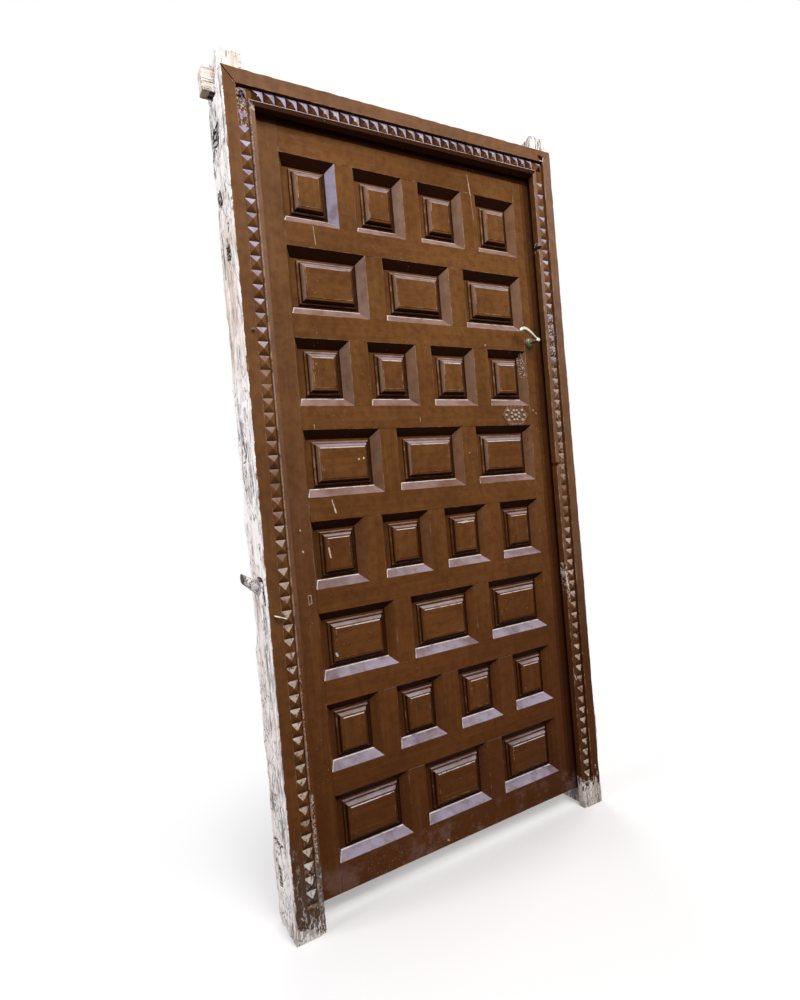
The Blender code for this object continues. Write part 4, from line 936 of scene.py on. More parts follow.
def wear_studs(work, chance, tip, lit_up, lit_left, lit_right, dim_left=0.0):
    """Blunts the tips of the carved pyramids, some of them badly, and paints sheen on their lit slopes and shade on
    their left slopes.
    """
    tips = []
    painted_sheen, deep = (work.faces.layers.float[label] for label in ("painted_sheen", "deep"))
    for vert in work.verts:
        near = abs(vert.co.y - STUD_TIP) < 2e-4 and len(vert.link_edges) == 4
        if near:
            tips.append(vert)
    for vert in tips:
        for face in vert.link_faces:
            if face.normal.z > 0.3:
                face[painted_sheen] = lit_up * chance.uniform(0.55, 1.0)
            elif face.normal.x < -0.3:
                face[painted_sheen] = lit_left * chance.uniform(0.7, 1.0)
                face[deep] = dim_left
            elif face.normal.x > 0.3:
                face[painted_sheen] = lit_right * chance.uniform(0.7, 1.0)
        drop = chance.uniform(0.0, 0.0012)
        if chance.random() < 0.10:
            drop = chance.uniform(0.002, 0.0045)
        slip = Vector((chance.uniform(-1, 1), 0, chance.uniform(-1, 1))) * 0.0009
        vert.co += slip + Vector((0, drop, 0))
    made = bmesh.ops.bevel(
        work,
        geom=tips,
        offset=tip,
        offset_type="OFFSET",
        affect="VERTICES",
        segments=1,
        profile=0.5,
        material=-1,
        clamp_overlap=False,
    )
    paint_layer(work, "arris", made["faces"])


def roughen(work, test, push, amount, fine=42.0, seed=0.0):
    """Moves the points that pass a test along a direction by long-grained noise."""
    push = Vector(push)
    for vert in work.verts:
        if test(vert.co):
            spot = Vector((vert.co.x * fine, vert.co.y * fine, vert.co.z * fine * 0.22 + seed))
            wave = noise.noise(spot) + 0.5 * noise.noise(spot * 2.7) + 0.25 * noise.noise(spot * 6.1)
            vert.co += push * (amount * wave)


def gouge(work, test, deep):
    """Sinks the left jamb's outer side at its pits."""
    for vert in work.verts:
        if not test(vert.co):
            continue
        spot = Vector((vert.co.y * SIDE_PRESS, vert.co.z))
        for y0, z0, y1, z1, half, strength in SIDE_PITS:
            start, end = Vector((y0 * SIDE_PRESS, z0)), Vector((y1 * SIDE_PRESS, z1))
            share = intersect_point_line(spot, start, end)[1]
            foot = start.lerp(end, max(0.0, min(1.0, share)))
            reach = half + 0.003
            gap = (spot - foot).length / reach
            if gap < 1:
                vert.co.x += deep * strength * (1 - gap * gap)


def crooked(work, sizes):
    """The head is out of level: it climbs to the right, and the tops of the jambs go with it."""
    for vert in work.verts:
        point = vert.co
        share = max(0.0, min(1.0, (point.z - SOFFIT + 0.15) / 0.15))
        rise = share * sizes.head_lean * (point.x / OUTER_HALF + 1) / 2
        within = max(0.0, min(1.0, (point.y - FRAME_FRONT) / (STOP_BACK - FRAME_FRONT)))
        above = max(0.0, min(1.0, (point.z - SOFFIT) / 0.04))
        rise *= 1 - 0.75 * within * (1 - above)
        if point.y < STOP_BACK + 1e-3:
            over = max(0.0, min(1.0, (point.z - FLAT_LOW) / (HEAD_TOP - FLAT_LOW)))
            rise += over * sizes.head_spare
        point.z += rise


def build_jamb(name, side, sizes, seed):
    chance = random.Random(seed)
    work = copy_of(name)
    work.normal_update()
    # Painted sheen mostly on the studs' upper slopes.
    wear_studs(work, chance, sizes.stud_tip, 0.92, 0.10, 0.06)
    front = FRAME_FRONT + 1e-4

    def outer_front(point):
        return point.y < front and side * point.x > OUTER_HALF - 1e-4

    def other_front(point):
        return point.y < front and side * point.x < OUTER_HALF - 1e-4

    def fillet_edge(point):
        return abs(abs(point.x) - FILLET_HALF) < 3e-4 and abs(point.y - FRAME_FRONT - 0.003) < 3e-4

    # The left fillet's edges carry a painted highlight line as well as wear.
    if side < 0:
        paint_layer(work, "arris", ease(work, sharp_edges(work, fillet_edge), 0.0036, 3), 1.25)
    ease(work, sharp_edges(work, outer_front), 0.0032)
    ease(work, sharp_edges(work, other_front), sizes.frame_arris)

    def side_face(face):
        return side * face.normal.x > 0.3 and side * face.calc_center_median().x > OUTER_HALF - 0.004

    slice_faces(work, side_face, 2, spaced(0.0, HORN_TOP, 0.0085))
    slice_faces(work, side_face, 1, spaced(FRAME_FRONT, FRAME_BACK, 0.0085))

    def horn_face(face):
        return face.normal.z > 0.9 and face.calc_center_median().z > HORN_TOP - 0.004

    slice_faces(work, horn_face, 0, spaced(-OUTER_HALF, OUTER_HALF, 0.0085))
    slice_faces(work, horn_face, 1, spaced(FRAME_FRONT, FRAME_BACK, 0.0115))
    for vert in work.verts:
        if vert.co.z > HORN_TOP - 1e-4:
            wave = noise.noise(Vector((vert.co.x * 70, vert.co.y * 70, seed)))
            behind = (vert.co.y - STOP_BACK) / (FRAME_BACK - STOP_BACK)
            vert.co.z -= sizes.horn_wear * (0.4 + 0.5 * wave + 0.9 * behind)
        if vert.co.z < 1e-4:
            wave = noise.noise(Vector((vert.co.x * 60, vert.co.y * 60, seed + 5)))
            vert.co.z += 0.006 * max(0.0, wave)

    def side_point(point):
        return side * point.x > OUTER_HALF - 0.0036

    roughen(work, side_point, (side, 0, 0), sizes.side_wear, 42.0, seed)
    if side < 0:
        gouge(work, side_point, sizes.pit_depth)
    paint_layer(work, "upright", list(work.faces))
    work.normal_update()
    # Painted sheen on the flat band, on the fillet, and on the walls of the carved band that lie in shade.
    flat = [f for f in work.faces if f.normal.y < -0.9 and abs(f.calc_center_median().x) > 0.478]
    paint_layer(work, "painted_sheen", flat, 0.05 if side < 0 else 0.20)
    fillet = [f for f in work.faces if f.normal.y < -0.9 and abs(f.calc_center_median().x) < FILLET_HALF]
    paint_layer(work, "painted_sheen", fillet, 0.20)
    for face in work.faces:
        middle = face.calc_center_median()
        if face.normal.x < -0.9 and abs(abs(middle.x) - FILLET_HALF) < 6e-4 and middle.y < STUD_FLOOR:
            paint_layer(work, "painted_sheen", [face], 0.30)
    crooked(work, sizes)
    return settle(name + "_timber", work, "frame_paint", name)


def corner_stud(work, side):
    """Last pyramid of the band, in the corner where head and jamb meet."""
    deep = STUD_FLOOR - STUD_TIP + 0.001
    middle = (side * (STOP_HALF + STUD_MIDDLE), STUD_FLOOR + 0.001 - deep / 2, SOFFIT + STUD_MIDDLE)
    turn = Matrix.Rotation(math.pi / 2, 4, "X") @ Matrix.Rotation(math.pi / 4, 4, "Z")
    made = bmesh.ops.create_cone(
        work,
        cap_ends=True,
        segments=4,
        radius1=0.0128 * math.sqrt(2),
        radius2=0.0012,
        depth=deep,
        matrix=Matrix.Translation(middle) @ turn,
    )
    painted_sheen = work.faces.layers.float["painted_sheen"]
    work.normal_update()
    for face in {face for vert in made["verts"] for face in vert.link_faces}:
        # Painted sheen on the slopes that face right and up.
        if face.normal.x > 0.3 or face.normal.z > 0.3:
            face[painted_sheen] = 0.7


def build_head(sizes):
    chance = random.Random(31)
    work = copy_of("head_beam")
    work.normal_update()
    # Painted sheen on the studs' upper and right slopes, painted shade on their left slopes.
    wear_studs(work, chance, sizes.stud_tip, 0.95, 0.0, 0.92, 0.95)
    front = FRAME_FRONT + 1e-4
    ease(work, sharp_edges(work, lambda point: point.y < front), sizes.frame_arris)
    fillet = FRAME_FRONT + 0.003

    def fillet_edge(point):
        return abs(point.y - fillet) < 2e-4 and point.z > SOFFIT + 0.01

    # Painted highlight line with wear along the fillet's upper edge.
    worn = ease(work, sharp_edges(work, fillet_edge), 0.0024)
    paint_layer(work, "arris", worn, 1.9)
    paint_layer(work, "rub", worn, 0.55)
    # Painted shade on the fillet's front, painted sheen on the flat band.
    work.normal_update()
    for face in work.faces:
        middle = face.calc_center_median()
        if face.normal.y < -0.9 and SOFFIT < middle.z < SOFFIT + 0.0135:
            paint_layer(work, "deep", [face], 1.0)
        elif face.normal.y < -0.9 and middle.z > FLAT_LOW:
            paint_layer(work, "painted_sheen", [face], 0.10)

    def tenon_end(point):
        return abs(point.x) > OUTER_HALF + 0.01

    ease(work, sharp_edges(work, tenon_end), 0.0055, 3)

    def top_face(face):
        return face.normal.z > 0.3 and face.calc_center_median().z > HEAD_TOP - 0.003

    slice_faces(work, top_face, 0, spaced(-0.52, 0.52, 0.012))

    def top_point(point):
        return abs(point.z - HEAD_TOP) < 0.0018 and abs(point.x) < 0.5 and point.y < STOP_BACK

    for vert in work.verts:
        if top_point(vert.co):
            spot = Vector((vert.co.x * 46, vert.co.y * 30, 3.0))
            vert.co.z += 0.0016 * (noise.noise(spot) + 0.4 * noise.noise(spot * 3)) - 0.0006
    for side in (-1, 1):
        corner_stud(work, side)
    crooked(work, sizes)
    return settle("head_beam_timber", work, "frame_paint", "head_beam")


def build_beads(sizes):
    for name in ("right_bead_lower", "right_bead_middle", "right_bead_upper"):
        work = copy_of(name)
        low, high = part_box(name)
        front = low.y + 1e-4
        ease(work, sharp_edges(work, lambda point: point.y < front), 0.0022, 3)

        def front_face(face):
            return face.normal.y < -0.2

        slice_faces(work, front_face, 2, spaced(low.z, high.z, 0.022))
        for vert in work.verts:
            if vert.co.y < low.y + 0.003:
                wave = noise.noise(Vector((vert.co.x * 60, 1.0, vert.co.z * 26)))
                vert.co.y += 0.0009 * wave
                vert.co.x += 0.0006 * noise.noise(Vector((4.0, 2.0, vert.co.z * 31)))
        paint_layer(work, "upright", list(work.faces))
        # Painted sheen on the bead's front.
        paint_layer(work, "painted_sheen", [face for face in work.faces if face.normal.y < -0.6], 0.28)
        crooked(work, sizes)
        settle(name + "_wood", work, "frame_paint", name)


# ---------------------------------------------------------------- leaf


def row_of(number):
    """Lower and upper edge of the openings of a row, counted from 1 at the top."""
    low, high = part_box("panel_row%d_1" % number)
    return low.z - TONGUE, high.z + TONGUE


END_STRIP = 0.0019
FOOT_IN = 0.0082  # foot of a slope, inwards from the edge of the panel's tongue
STEEPER = 0.0075  # how far the foot of a left slope stands back
SHADE_LINE = 1.9395  # lower edge of the painted shadow under the head
SHADE_SIDE = ((0.404, 0.45), (0.417, 0.80))  # painted shadow beside the right bead: from x on, how dark


def steepen_left(work):
    """The slope at the left of every opening is cut steeper than the other three."""
    for name in frame["nodes"].keys():
        if not name.startswith("panel_row"):
            continue
        low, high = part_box(name)
        for vert in work.verts:
            spot = vert.co
            at_foot = abs(spot.x - low.x - FOOT_IN) < 0.0012
            if at_foot and abs(spot.y - SLOPE_BACK - 0.001) < 0.0015 and low.z < spot.z < high.z:
                spot.x -= STEEPER


def sheen_slopes(work, chance):
    """Painted sheen on the slopes of the openings that face left, thinner towards the floor."""
    painted_sheen = work.faces.layers.float["painted_sheen"]
    work.normal_update()
    for face in work.faces:
        if face.normal.x < -0.5 and face.normal.y < -0.5:
            middle = face.calc_center_median()
            high = max(0.0, min(1.0, (middle.z - 0.75) / 0.7))
            near = max(0.0, min(1.0, (0.42 - middle.x) / 0.6))
            face[painted_sheen] = high * (0.14 + 0.22 * near) * chance.uniform(0.8, 1.2)
            if middle.z > 1.70 and middle.x < -0.2:
                face[painted_sheen] = 0.72


def highlight_slope_ends(work):
    """Painted highlight: a thin bright strip along the left end of each slope that faces up."""
    work.normal_update()
    for slope in [f for f in work.faces if f.normal.z > 0.5 and f.normal.y < -0.5]:
        end = min(slope.edges, key=lambda edge: edge.verts[0].co.x + edge.verts[1].co.x)
        start, run = end.verts[0].co.copy(), end.verts[1].co - end.verts[0].co
        if run.length < 0.01 or abs(run.x) > 0.8 * run.length:
            continue
        inward = slope.normal.cross(run).normalized()
        if inward.dot(slope.calc_center_median() - start) < 0:
            inward.negate()
        made = bmesh.ops.bisect_plane(
            work,
            geom=[slope, *slope.edges, *slope.verts],
            dist=1e-6,
            plane_co=start + inward * END_STRIP,
            plane_no=inward,
        )
        for face in made["geom"]:
            if isinstance(face, bmesh.types.BMFace):
                if inward.dot(face.calc_center_median() - start) < END_STRIP:
                    paint_layer(work, "rub", [face], 0.9)


def highlight_slopes(work, deepest):
    """Thin strip along the inner edge of the slopes, with a painted highlight where it faces up."""
    highlight_slope_ends(work)
    work.normal_update()
    slopes = [f for f in work.faces if f.normal.y < -0.5 and max(abs(f.normal.x), abs(f.normal.z)) > 0.5]
    parts = set(slopes)
    for face in slopes:
        parts.update(face.edges, face.verts)
    cut = deepest - 0.0021
    bmesh.ops.bisect_plane(work, geom=list(parts), dist=1e-6, plane_co=(0, cut, 0), plane_no=(0, 1, 0))
    work.normal_update()
    for face in work.faces:
        if face.normal.z > 0.5 and face.normal.y < -0.5 and face.calc_center_median().y > cut:
            paint_layer(work, "rub", [face], 1.0)


def shade_top(work):
    """Painted shadow of the head: dark paint on the leaf's front, close under the head."""
    geom = list(work.verts) + list(work.edges) + list(work.faces)
    bmesh.ops.bisect_plane(work, geom=geom, dist=1e-6, plane_co=(0, 0, SHADE_LINE), plane_no=(0, 0, 1))
    work.normal_update()
    for face in work.faces:
        if face.normal.y < -0.9 and face.calc_center_median().z > SHADE_LINE:
            paint_layer(work, "deep", [face], 1.0)


def shade_side(work):
    """Painted shadow of the bead: dark paint on the lever stile's front, beside the right bead."""
    for start, dark in SHADE_SIDE:
        geom = list(work.verts) + list(work.edges) + list(work.faces)
        bmesh.ops.bisect_plane(work, geom=geom, dist=1e-6, plane_co=(start, 0, 0), plane_no=(1, 0, 0))
        work.normal_update()
        for face in work.faces:
            if face.normal.y < -0.9 and face.calc_center_median().x > start:
                paint_layer(work, "deep", [face], dark)


def build_stiles(sizes):
    chance = random.Random(8)
    front = LEAF_FRONT + 1e-4
    for name in ("hinge_stile", "lever_stile"):
        work = copy_of(name, 0.0007)
        steepen_left(work)
        ease(work, sharp_edges(work, lambda point: point.y < front), sizes.leaf_arris)
        paint_layer(work, "upright", list(work.faces))
        # A faint painted sheen on the hinge stile's front.
        if name == "hinge_stile":
            paint_layer(work, "painted_sheen", [face for face in work.faces if face.normal.y < -0.9], 0.04)
        sheen_slopes(work, chance)
        highlight_slopes(work, SLOPE_BACK)
        if name == "lever_stile":
            shade_side(work)
        shade_top(work)
        settle(name + "_wood", work, "leaf_paint", name)


def build_rails(sizes):
    chance = random.Random(17)
    front = LEAF_FRONT + 1e-4
    names = ["top_rail"] + ["rail_%d" % i for i in range(2, 9)] + ["bottom_rail"]
    for index, name in enumerate(names):
        work = copy_of(name, 0.0007)
        steepen_left(work)
        ease(work, sharp_edges(work, lambda point: point.y < front), sizes.leaf_arris)
        if index:
            foot, top = row_of(index)
            for cut in (foot + 0.0002, foot + 0.0010):
                bmesh.ops.bisect_plane(
                    work,
                    geom=list(work.verts) + list(work.edges) + list(work.faces),
                    dist=1e-6,
                    plane_co=(0, 0, cut),
                    plane_no=(0, 0, 1),
                )
            slit = []
            stand = []
            for face in work.faces:
                middle = face.calc_center_median()
                if foot + 0.0002 < middle.z < foot + 0.0010 and face.normal.y < -0.95:
                    slit.append(face)
                if middle.z > foot + 0.0002 and abs(face.normal.z) < 0.5:
                    stand.append(face)
            paint_layer(work, "upright", stand)
            paint_layer(work, "joint", slit, 0.55)
        sheen_slopes(work, chance)
        highlight_slopes(work, SLOPE_BACK)
        shade_top(work)
        settle(name + "_wood", work, "leaf_paint", name)


OVOLO_START = 0.0222  # insets from the tongue's edge
FIELD_EDGE = 0.0312
FIELD_START = 0.0336
FILLET_START = 0.0172
OVOLO_FOOT = 0.0240
UPPER_SHEEN = {"top": 0.46, "left": 0.26}  # painted sheen on the mouldings of the upper rows
# painted shade on the margins, by side
MARGIN_SHADE = {"left": 0.50, "right": 1.0, "bottom": 0.95, "top": 0.0}


def panel_profile(steps):
    """Pairs of inset from the tongue's edge and depth, from the margin to the field."""
    levels = [(0.0151, -0.0002), (0.0154, -0.0030), (0.0160, -0.0050), (0.0172, -0.0058)]
    levels += [(0.0186, -0.0060), (0.0196, -0.0058), (0.0204, -0.0047), (0.0222, -0.0045)]
    for step in range(1, steps + 1):
        angle = math.pi / 2 * step / steps
        levels.append((0.0222 + 0.0088 * (1 - math.cos(angle)), -0.0046 - 0.0112 * math.sin(angle)))
    levels += [(0.0316, -0.0160), (0.0321, -0.0168), (0.0328, -0.0172), (0.0340, -0.0173)]
    return levels


def build_panel(name, sizes, chance):
    low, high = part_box(name)
    work = new_work()
    lean = chance.uniform(-0.0007, 0.0007)
    corners = [(low.x, low.z), (high.x, low.z), (high.x, high.z), (low.x, high.z)]
    face = work.faces.new([work.verts.new((x, -0.0002, z)) for x, z in corners])
    face.normal_update()
    if face.normal.y > 0:
        face.normal_flip()
    tongue = list(face.edges)
    inset, depth = 0.0, -0.0002
    for step_in, y in panel_profile(sizes.ovolo_steps):
        made = bmesh.ops.inset_individual(
            work, faces=[face], thickness=step_in - inset, depth=depth - y, use_even_offset=True
        )
        if 0.0160 < step_in < 0.0200 or step_in > 0.0318:
            paint_layer(work, "arris", made["faces"])
        inset, depth = step_in, y
        slip = Vector((chance.uniform(-1, 1), 0, chance.uniform(-1, 1))) * 0.00016
        for vert in face.verts:
            vert.co += slip
    for vert in work.verts:
        share = (vert.co.z - low.z) / (high.z - low.z) - 0.5
        if vert.co.y < -0.004:
            vert.co.y += lean * share
    back = bmesh.ops.extrude_edge_only(work, edges=tongue)["geom"]
    rim = [item for item in back if isinstance(item, bmesh.types.BMVert)]
    bmesh.ops.translate(work, verts=rim, vec=(0, high.y + 0.0002, 0))
    edges = [e for e in back if isinstance(e, bmesh.types.BMEdge) and e.is_boundary]
    bmesh.ops.contextual_create(work, geom=edges)
    work.normal_update()
    # Painted sheen on the ledges that face up.
    ledges = [face for face in work.faces if face.normal.z > 0.45 and face.calc_center_median().y < 0]
    paint_layer(work, "painted_sheen", ledges, 0.30)
    # By side: painted sheen on the upper rows' mouldings, painted shade on the ovolos and margins, a painted highlight
    # line along the top of the field.
    for face in work.faces:
        middle = face.calc_center_median()
        if middle.y > -1e-5 or face.normal.y > 0.5:
            continue
        reach = {"left": middle.x - low.x, "right": high.x - middle.x}
        reach.update(bottom=middle.z - low.z, top=high.z - middle.z)
        side = min(reach, key=reach.get)
        start = OVOLO_FOOT if side == "left" else FILLET_START
        if low.z > 1.0 and start < reach[side] < FIELD_EDGE and side in UPPER_SHEEN:
            paint_layer(work, "painted_sheen", [face], UPPER_SHEEN[side])
        if side == "left" and OVOLO_START < reach[side] < OVOLO_FOOT:
            paint_layer(work, "deep", [face], 0.75)
        if side == "right" and OVOLO_START < reach[side] < FIELD_EDGE:
            paint_layer(work, "deep", [face], 0.60)
        if reach[side] < OVOLO_START:
            faint = 0.5 if low.z > 1.0 and side == "left" else 1.0
            paint_layer(work, "deep", [face], MARGIN_SHADE[side] * faint)
        elif side == "top" and FIELD_EDGE < reach[side] < FIELD_START:
            paint_layer(work, "rub", [face], 0.30 if low.z > 1.3 else 0.8)
    wide = high.x - low.x > high.z - low.z
    if not wide:
        paint_layer(work, "upright", list(work.faces), 1.0)
    settle(name + "_wood", work, "leaf_paint", name)


# ---------------------------------------------------------------- fittings


def build_strap(name, sizes):
    low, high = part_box(name)
    work = copy_of(name)
    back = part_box(name)[0].y + 0.004
    ease(work, sharp_edges(work, lambda point: abs(point.y - back) < 2e-4, 40), 0.0008)
    middle = (low.z + high.z) / 2
    for share, drop in ((0.16, 0.010), (0.16, -0.010), (0.42, 0.0), (0.66, 0.0), (0.86, 0.0)):
        x = low.x + (high.x - low.x) * share
        dome(work, (x, back, middle + drop), 0.0058, 0.0030, (0, 1, 0))
    settle(name + "_iron", work, "rusted_iron", name)


def sweep(work, stations, sides):
    """Tube through stations of middle, side direction, thickness and depth, closed at both ends."""
    loop = None
    for middle, across, thick, deep in stations:
        if loop is None:
            ring = bmesh.ops.create_circle(work, cap_ends=True, segments=sides, radius=1.0)["verts"]
            face = ring[0].link_faces[0]
            loop = list(face.verts)
        else:
            made = bmesh.ops.extrude_discrete_faces(work, faces=[face])["faces"]
            face = made[0]
            loop = list(face.verts)
        for i, vert in enumerate(loop):
            angle = 2 * math.pi * i / sides
            offset = across * (thick * math.cos(angle))
            vert.co = middle + offset + Vector((0, deep * math.sin(angle), 0))
    return work


def lever_stations(axis, y):
    path = []
    steps = 18
    for i in range(steps + 1):
        t = i / steps
        bow = 4 * 0.014 * t * (1 - t) * (0.4 + 1.2 * t)
        path.append(Vector((axis.x - 0.067 * t, y, axis.z + 0.0235 * t + bow)))
    stations = []
    for i, middle in enumerate(path):
        run = path[min(i + 1, steps)] - path[max(i - 1, 0)]
        across = Vector((-run.z, 0, run.x)).normalized()
        t = i / steps
        thick = 0.0026 + 0.0036 * math.sin(math.pi / 2 * min(1.0, t / 0.70))
        deep = 0.0050
        end = min(1.0, math.sqrt(max(0.0, 1 - max(0.0, (t - 0.86) / 0.14) ** 2)) + 0.35)
        stations.append((middle, across, thick * end, deep * end))
    return stations


def turned_body(work, axis, profile, sides=28):
    """Round body on an axis along Y, spun from pairs of radius and y."""
    verts = [work.verts.new((axis.x + radius, y, axis.z)) for radius, y in profile]
    edges = [work.edges.new(pair) for pair in zip(verts, verts[1:])]
    made = bmesh.ops.spin(
        work,
        geom=verts + edges,
        cent=axis,
        axis=(0, 1, 0),
        angle=2 * math.pi,
        steps=sides,
        use_merge=True,
        use_duplicate=False,
    )
    return made


def close_ends(work):
    bmesh.ops.remove_doubles(work, verts=work.verts, dist=1e-6)
    bmesh.ops.holes_fill(work, edges=[edge for edge in work.edges if edge.is_boundary], sides=0)


def build_lever(name, front):
    low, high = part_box(name)
    place_y = low.y + 0.006 if front else high.y - 0.006
    rose_low, rose_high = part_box("outside_rose")
    axis = Vector(((rose_low.x + rose_high.x) / 2, 0, (rose_low.z + rose_high.z) / 2))
    work = new_work()
    sweep(work, lever_stations(axis, place_y), 16)
    if front:
        profile = [(0.0, place_y - 0.0062), (0.0046, place_y - 0.0060), (0.0062, place_y - 0.0046)]
        profile += [(0.0070, place_y - 0.002), (0.0062, place_y + 0.008), (0.0060, place_y + 0.020)]
        profile += [(0.0074, place_y + 0.029), (0.0075, LEAF_FRONT - 0.0003), (0.0, LEAF_FRONT - 0.0003)]
        turned_body(work, axis, profile)
        spindle = bmesh.ops.create_cube(work, size=1.0)["verts"]
        middle = (LEAF_FRONT + high.y) / 2 - 0.002
        size = Matrix.Diagonal((0.008, high.y - LEAF_FRONT + 0.004, 0.008, 1))
        bmesh.ops.transform(work, matrix=Matrix.Translation((axis.x, middle, axis.z)) @ size, verts=spindle)
    else:
        profile = [(0.0, place_y + 0.0062), (0.0060, place_y + 0.0058), (0.0084, place_y + 0.0036)]
        profile += [(0.0088, place_y - 0.004), (0.0074, place_y - 0.014), (0.0095, low.y + 0.003)]
        profile += [(0.0095, low.y), (0.0, low.y)]
        turned_body(work, axis, profile)
    close_ends(work)
    settle(name + "_brass", work, "worn_brass", name, smooth_angle=50)


def build_rose():
    low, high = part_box("outside_rose")
    axis = Vector(((low.x + high.x) / 2, 0, (low.z + high.z) / 2))
    base = high.y
    work = new_work()
    profile = [(0.0078, base), (0.0150, base), (0.0150, base - 0.0030), (0.0143, base - 0.0040)]
    profile += [(0.0128, base - 0.0046), (0.0126, base - 0.0060), (0.0131, base - 0.0072)]
    profile += [(0.0120, base - 0.0090), (0.0106, base - 0.0101), (0.0088, base - 0.0105)]
    profile += [(0.0078, base - 0.0104)]
    turned_body(work, axis, profile)
    bmesh.ops.remove_doubles(work, verts=work.verts, dist=1e-6)
    ends = [edge for edge in work.edges if edge.is_boundary]
    bmesh.ops.bridge_loops(work, edges=ends)
    settle("outside_rose_brass", work, "dull_brass", "outside_rose", smooth_angle=50)


def build_case():
    work = copy_of("bolt_case")
    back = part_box("bolt_case")[1].y - 1e-4
    ease(work, sharp_edges(work, lambda point: point.y > back, 40), 0.0011)
    low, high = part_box("bolt_case")
    for x in (low.x + 0.008, high.x - 0.008):
        for z in (low.z + 0.008, high.z - 0.008):
            dome(work, (x, high.y, z), 0.0036, 0.0018, (0, 1, 0))
    settle("bolt_case_iron", work, "rusted_iron", "bolt_case")


def build_plate():
    """Six-sided plate with a raised rim, a round boss, a ring of petals and rim beads."""
    low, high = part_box("six_sided_plate")
    middle = (low + high) / 2
    base = high.y
    work = new_work()
    wide, tall, flat = (high.x - low.x) / 2, (high.z - low.z) / 2, 0.0275
    corners = [(-wide, 0), (-flat, -tall), (flat, -tall), (wide, 0), (flat, tall), (-flat, tall)]
    ring = [work.verts.new((middle.x + x, base, middle.z + z)) for x, z in corners]
    face = work.faces.new(ring)
    face.normal_update()
    if face.normal.y > 0:
        face.normal_flip()
    steps = [(0.0, 0.0018), (0.0008, 0.0005), (0.0042, 0.0), (0.0008, -0.0010), (0.0012, 0.0)]
    for inset, rise in steps:
        if inset == 0.0:
            made = bmesh.ops.extrude_discrete_faces(work, faces=[face])["faces"]
            face = made[0]
            bmesh.ops.translate(work, verts=face.verts, vec=(0, -rise, 0))
        else:
            bmesh.ops.inset_individual(
                work, faces=[face], thickness=inset, depth=rise, use_even_offset=True
            )
    bmesh.ops.contextual_create(work, geom=[edge for edge in work.edges if edge.is_boundary])
    face_y = base - 0.0013
    dome(work, (middle.x, face_y, middle.z), 0.0066, 0.0044, (0, -1, 0), 16)
    for i in range(8):
        turn = math.pi / 4 * i + math.pi / 8
        spot = (middle.x + 0.0150 * math.cos(turn), face_y, middle.z + 0.0145 * math.sin(turn))
        dome(work, spot, 0.0052, 0.0034, (0, -1, 0), 10)
    for side in (-1, 1):
        dome(work, (middle.x + side * 0.0355, face_y, middle.z), 0.0056, 0.0032, (0, -1, 0), 10)
        for drop in (-1, 1):
            spot = (middle.x + side * 0.0270, face_y, middle.z + drop * 0.0145)
            dome(work, spot, 0.0056, 0.0032, (0, -1, 0), 10)
    for i, (x0, z0) in enumerate(corners):
        x1, z1 = corners[(i + 1) % 6]
        for share in (0.2, 0.5, 0.8):
            x = (x0 + (x1 - x0) * share) * 0.91
            z = (z0 + (z1 - z0) * share) * 0.89
            dome(work, (middle.x + x, base - 0.0022, middle.z + z), 0.0017, 0.0012, (0, -1, 0), 8)
    # Painted sheen over the plate, and a painted highlight with wear on its raised parts.
    paint_layer(work, "painted_sheen", list(work.faces), 0.15)
    paint_layer(work, "arris", [f for f in work.faces if f.calc_center_median().y < base - 0.0024], 1.5)
    settle("six_sided_plate_metal", work, "leaf_paint", "six_sided_plate", smooth_angle=45)


def build_peg():
    work = copy_of("wall_peg")
    low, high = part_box("wall_peg")
    slice_faces(work, lambda face: True, 0, spaced(low.x, high.x, 0.005))
    for vert in work.verts:
        spot = Vector((vert.co.x * 30, vert.co.y * 130, vert.co.z * 60))
        out = max(0.0, min(1.0, (-OUTER_HALF - vert.co.x) / 0.010))
        core = (low.z + high.z) / 2 + 0.29 - 0.76 * (vert.co.x + 0.5365) - 0.29
        swell = 0.28 * out
        vert.co.y *= 1 + swell
        vert.co.z += (vert.co.z - core) * swell * 0.6
        vert.co += Vector((0, 1, 1)) * (0.0016 * noise.noise(spot))
    settle("wall_peg_wood", work, "bare_timber", "wall_peg", smooth_angle=40)


def build_nails():
    for name in ("upper_nail", "lower_bent_nail"):
        work = copy_of(name)
        ease(work, sharp_edges(work, lambda point: True, 50), 0.0003)
        finish = "rubbed_iron" if name == "lower_bent_nail" else "rusted_iron"
        settle(name + "_iron", work, finish, name, smooth_angle=50)


# ---------------------------------------------------------------- operators


class DOOR_OT_jambs(bpy.types.Operator):
    """Two jambs with worn studs, rough outer sides and broken horns"""

    bl_idname = "door.jambs"
    bl_label = "Jambs"

    def execute(self, context):
        sizes = context.scene.door_sizes
        build_jamb("left_jamb", -1, sizes, 11)
        build_jamb("right_jamb", 1, sizes, 23)
        return {"FINISHED"}


class DOOR_OT_head(bpy.types.Operator):
    """Head beam with its carved band and through tenons"""

    bl_idname = "door.head"
    bl_label = "Head Beam"

    def execute(self, context):
        build_head(context.scene.door_sizes)
        return {"FINISHED"}


class DOOR_OT_beads(bpy.types.Operator):
    """Three lengths of stop bead on the right jamb"""

    bl_idname = "door.beads"
    bl_label = "Stop Beads"

    def execute(self, context):
        build_beads(context.scene.door_sizes)
        return {"FINISHED"}


class DOOR_OT_stiles(bpy.types.Operator):
    """Hinge stile and lever stile"""

    bl_idname = "door.stiles"
    bl_label = "Stiles"

    def execute(self, context):
        build_stiles(context.scene.door_sizes)
        return {"FINISHED"}


class DOOR_OT_rails(bpy.types.Operator):
    """Nine rails with the short muntins that stand on them"""

    bl_idname = "door.rails"
    bl_label = "Rails"

    def execute(self, context):
        build_rails(context.scene.door_sizes)
        return {"FINISHED"}


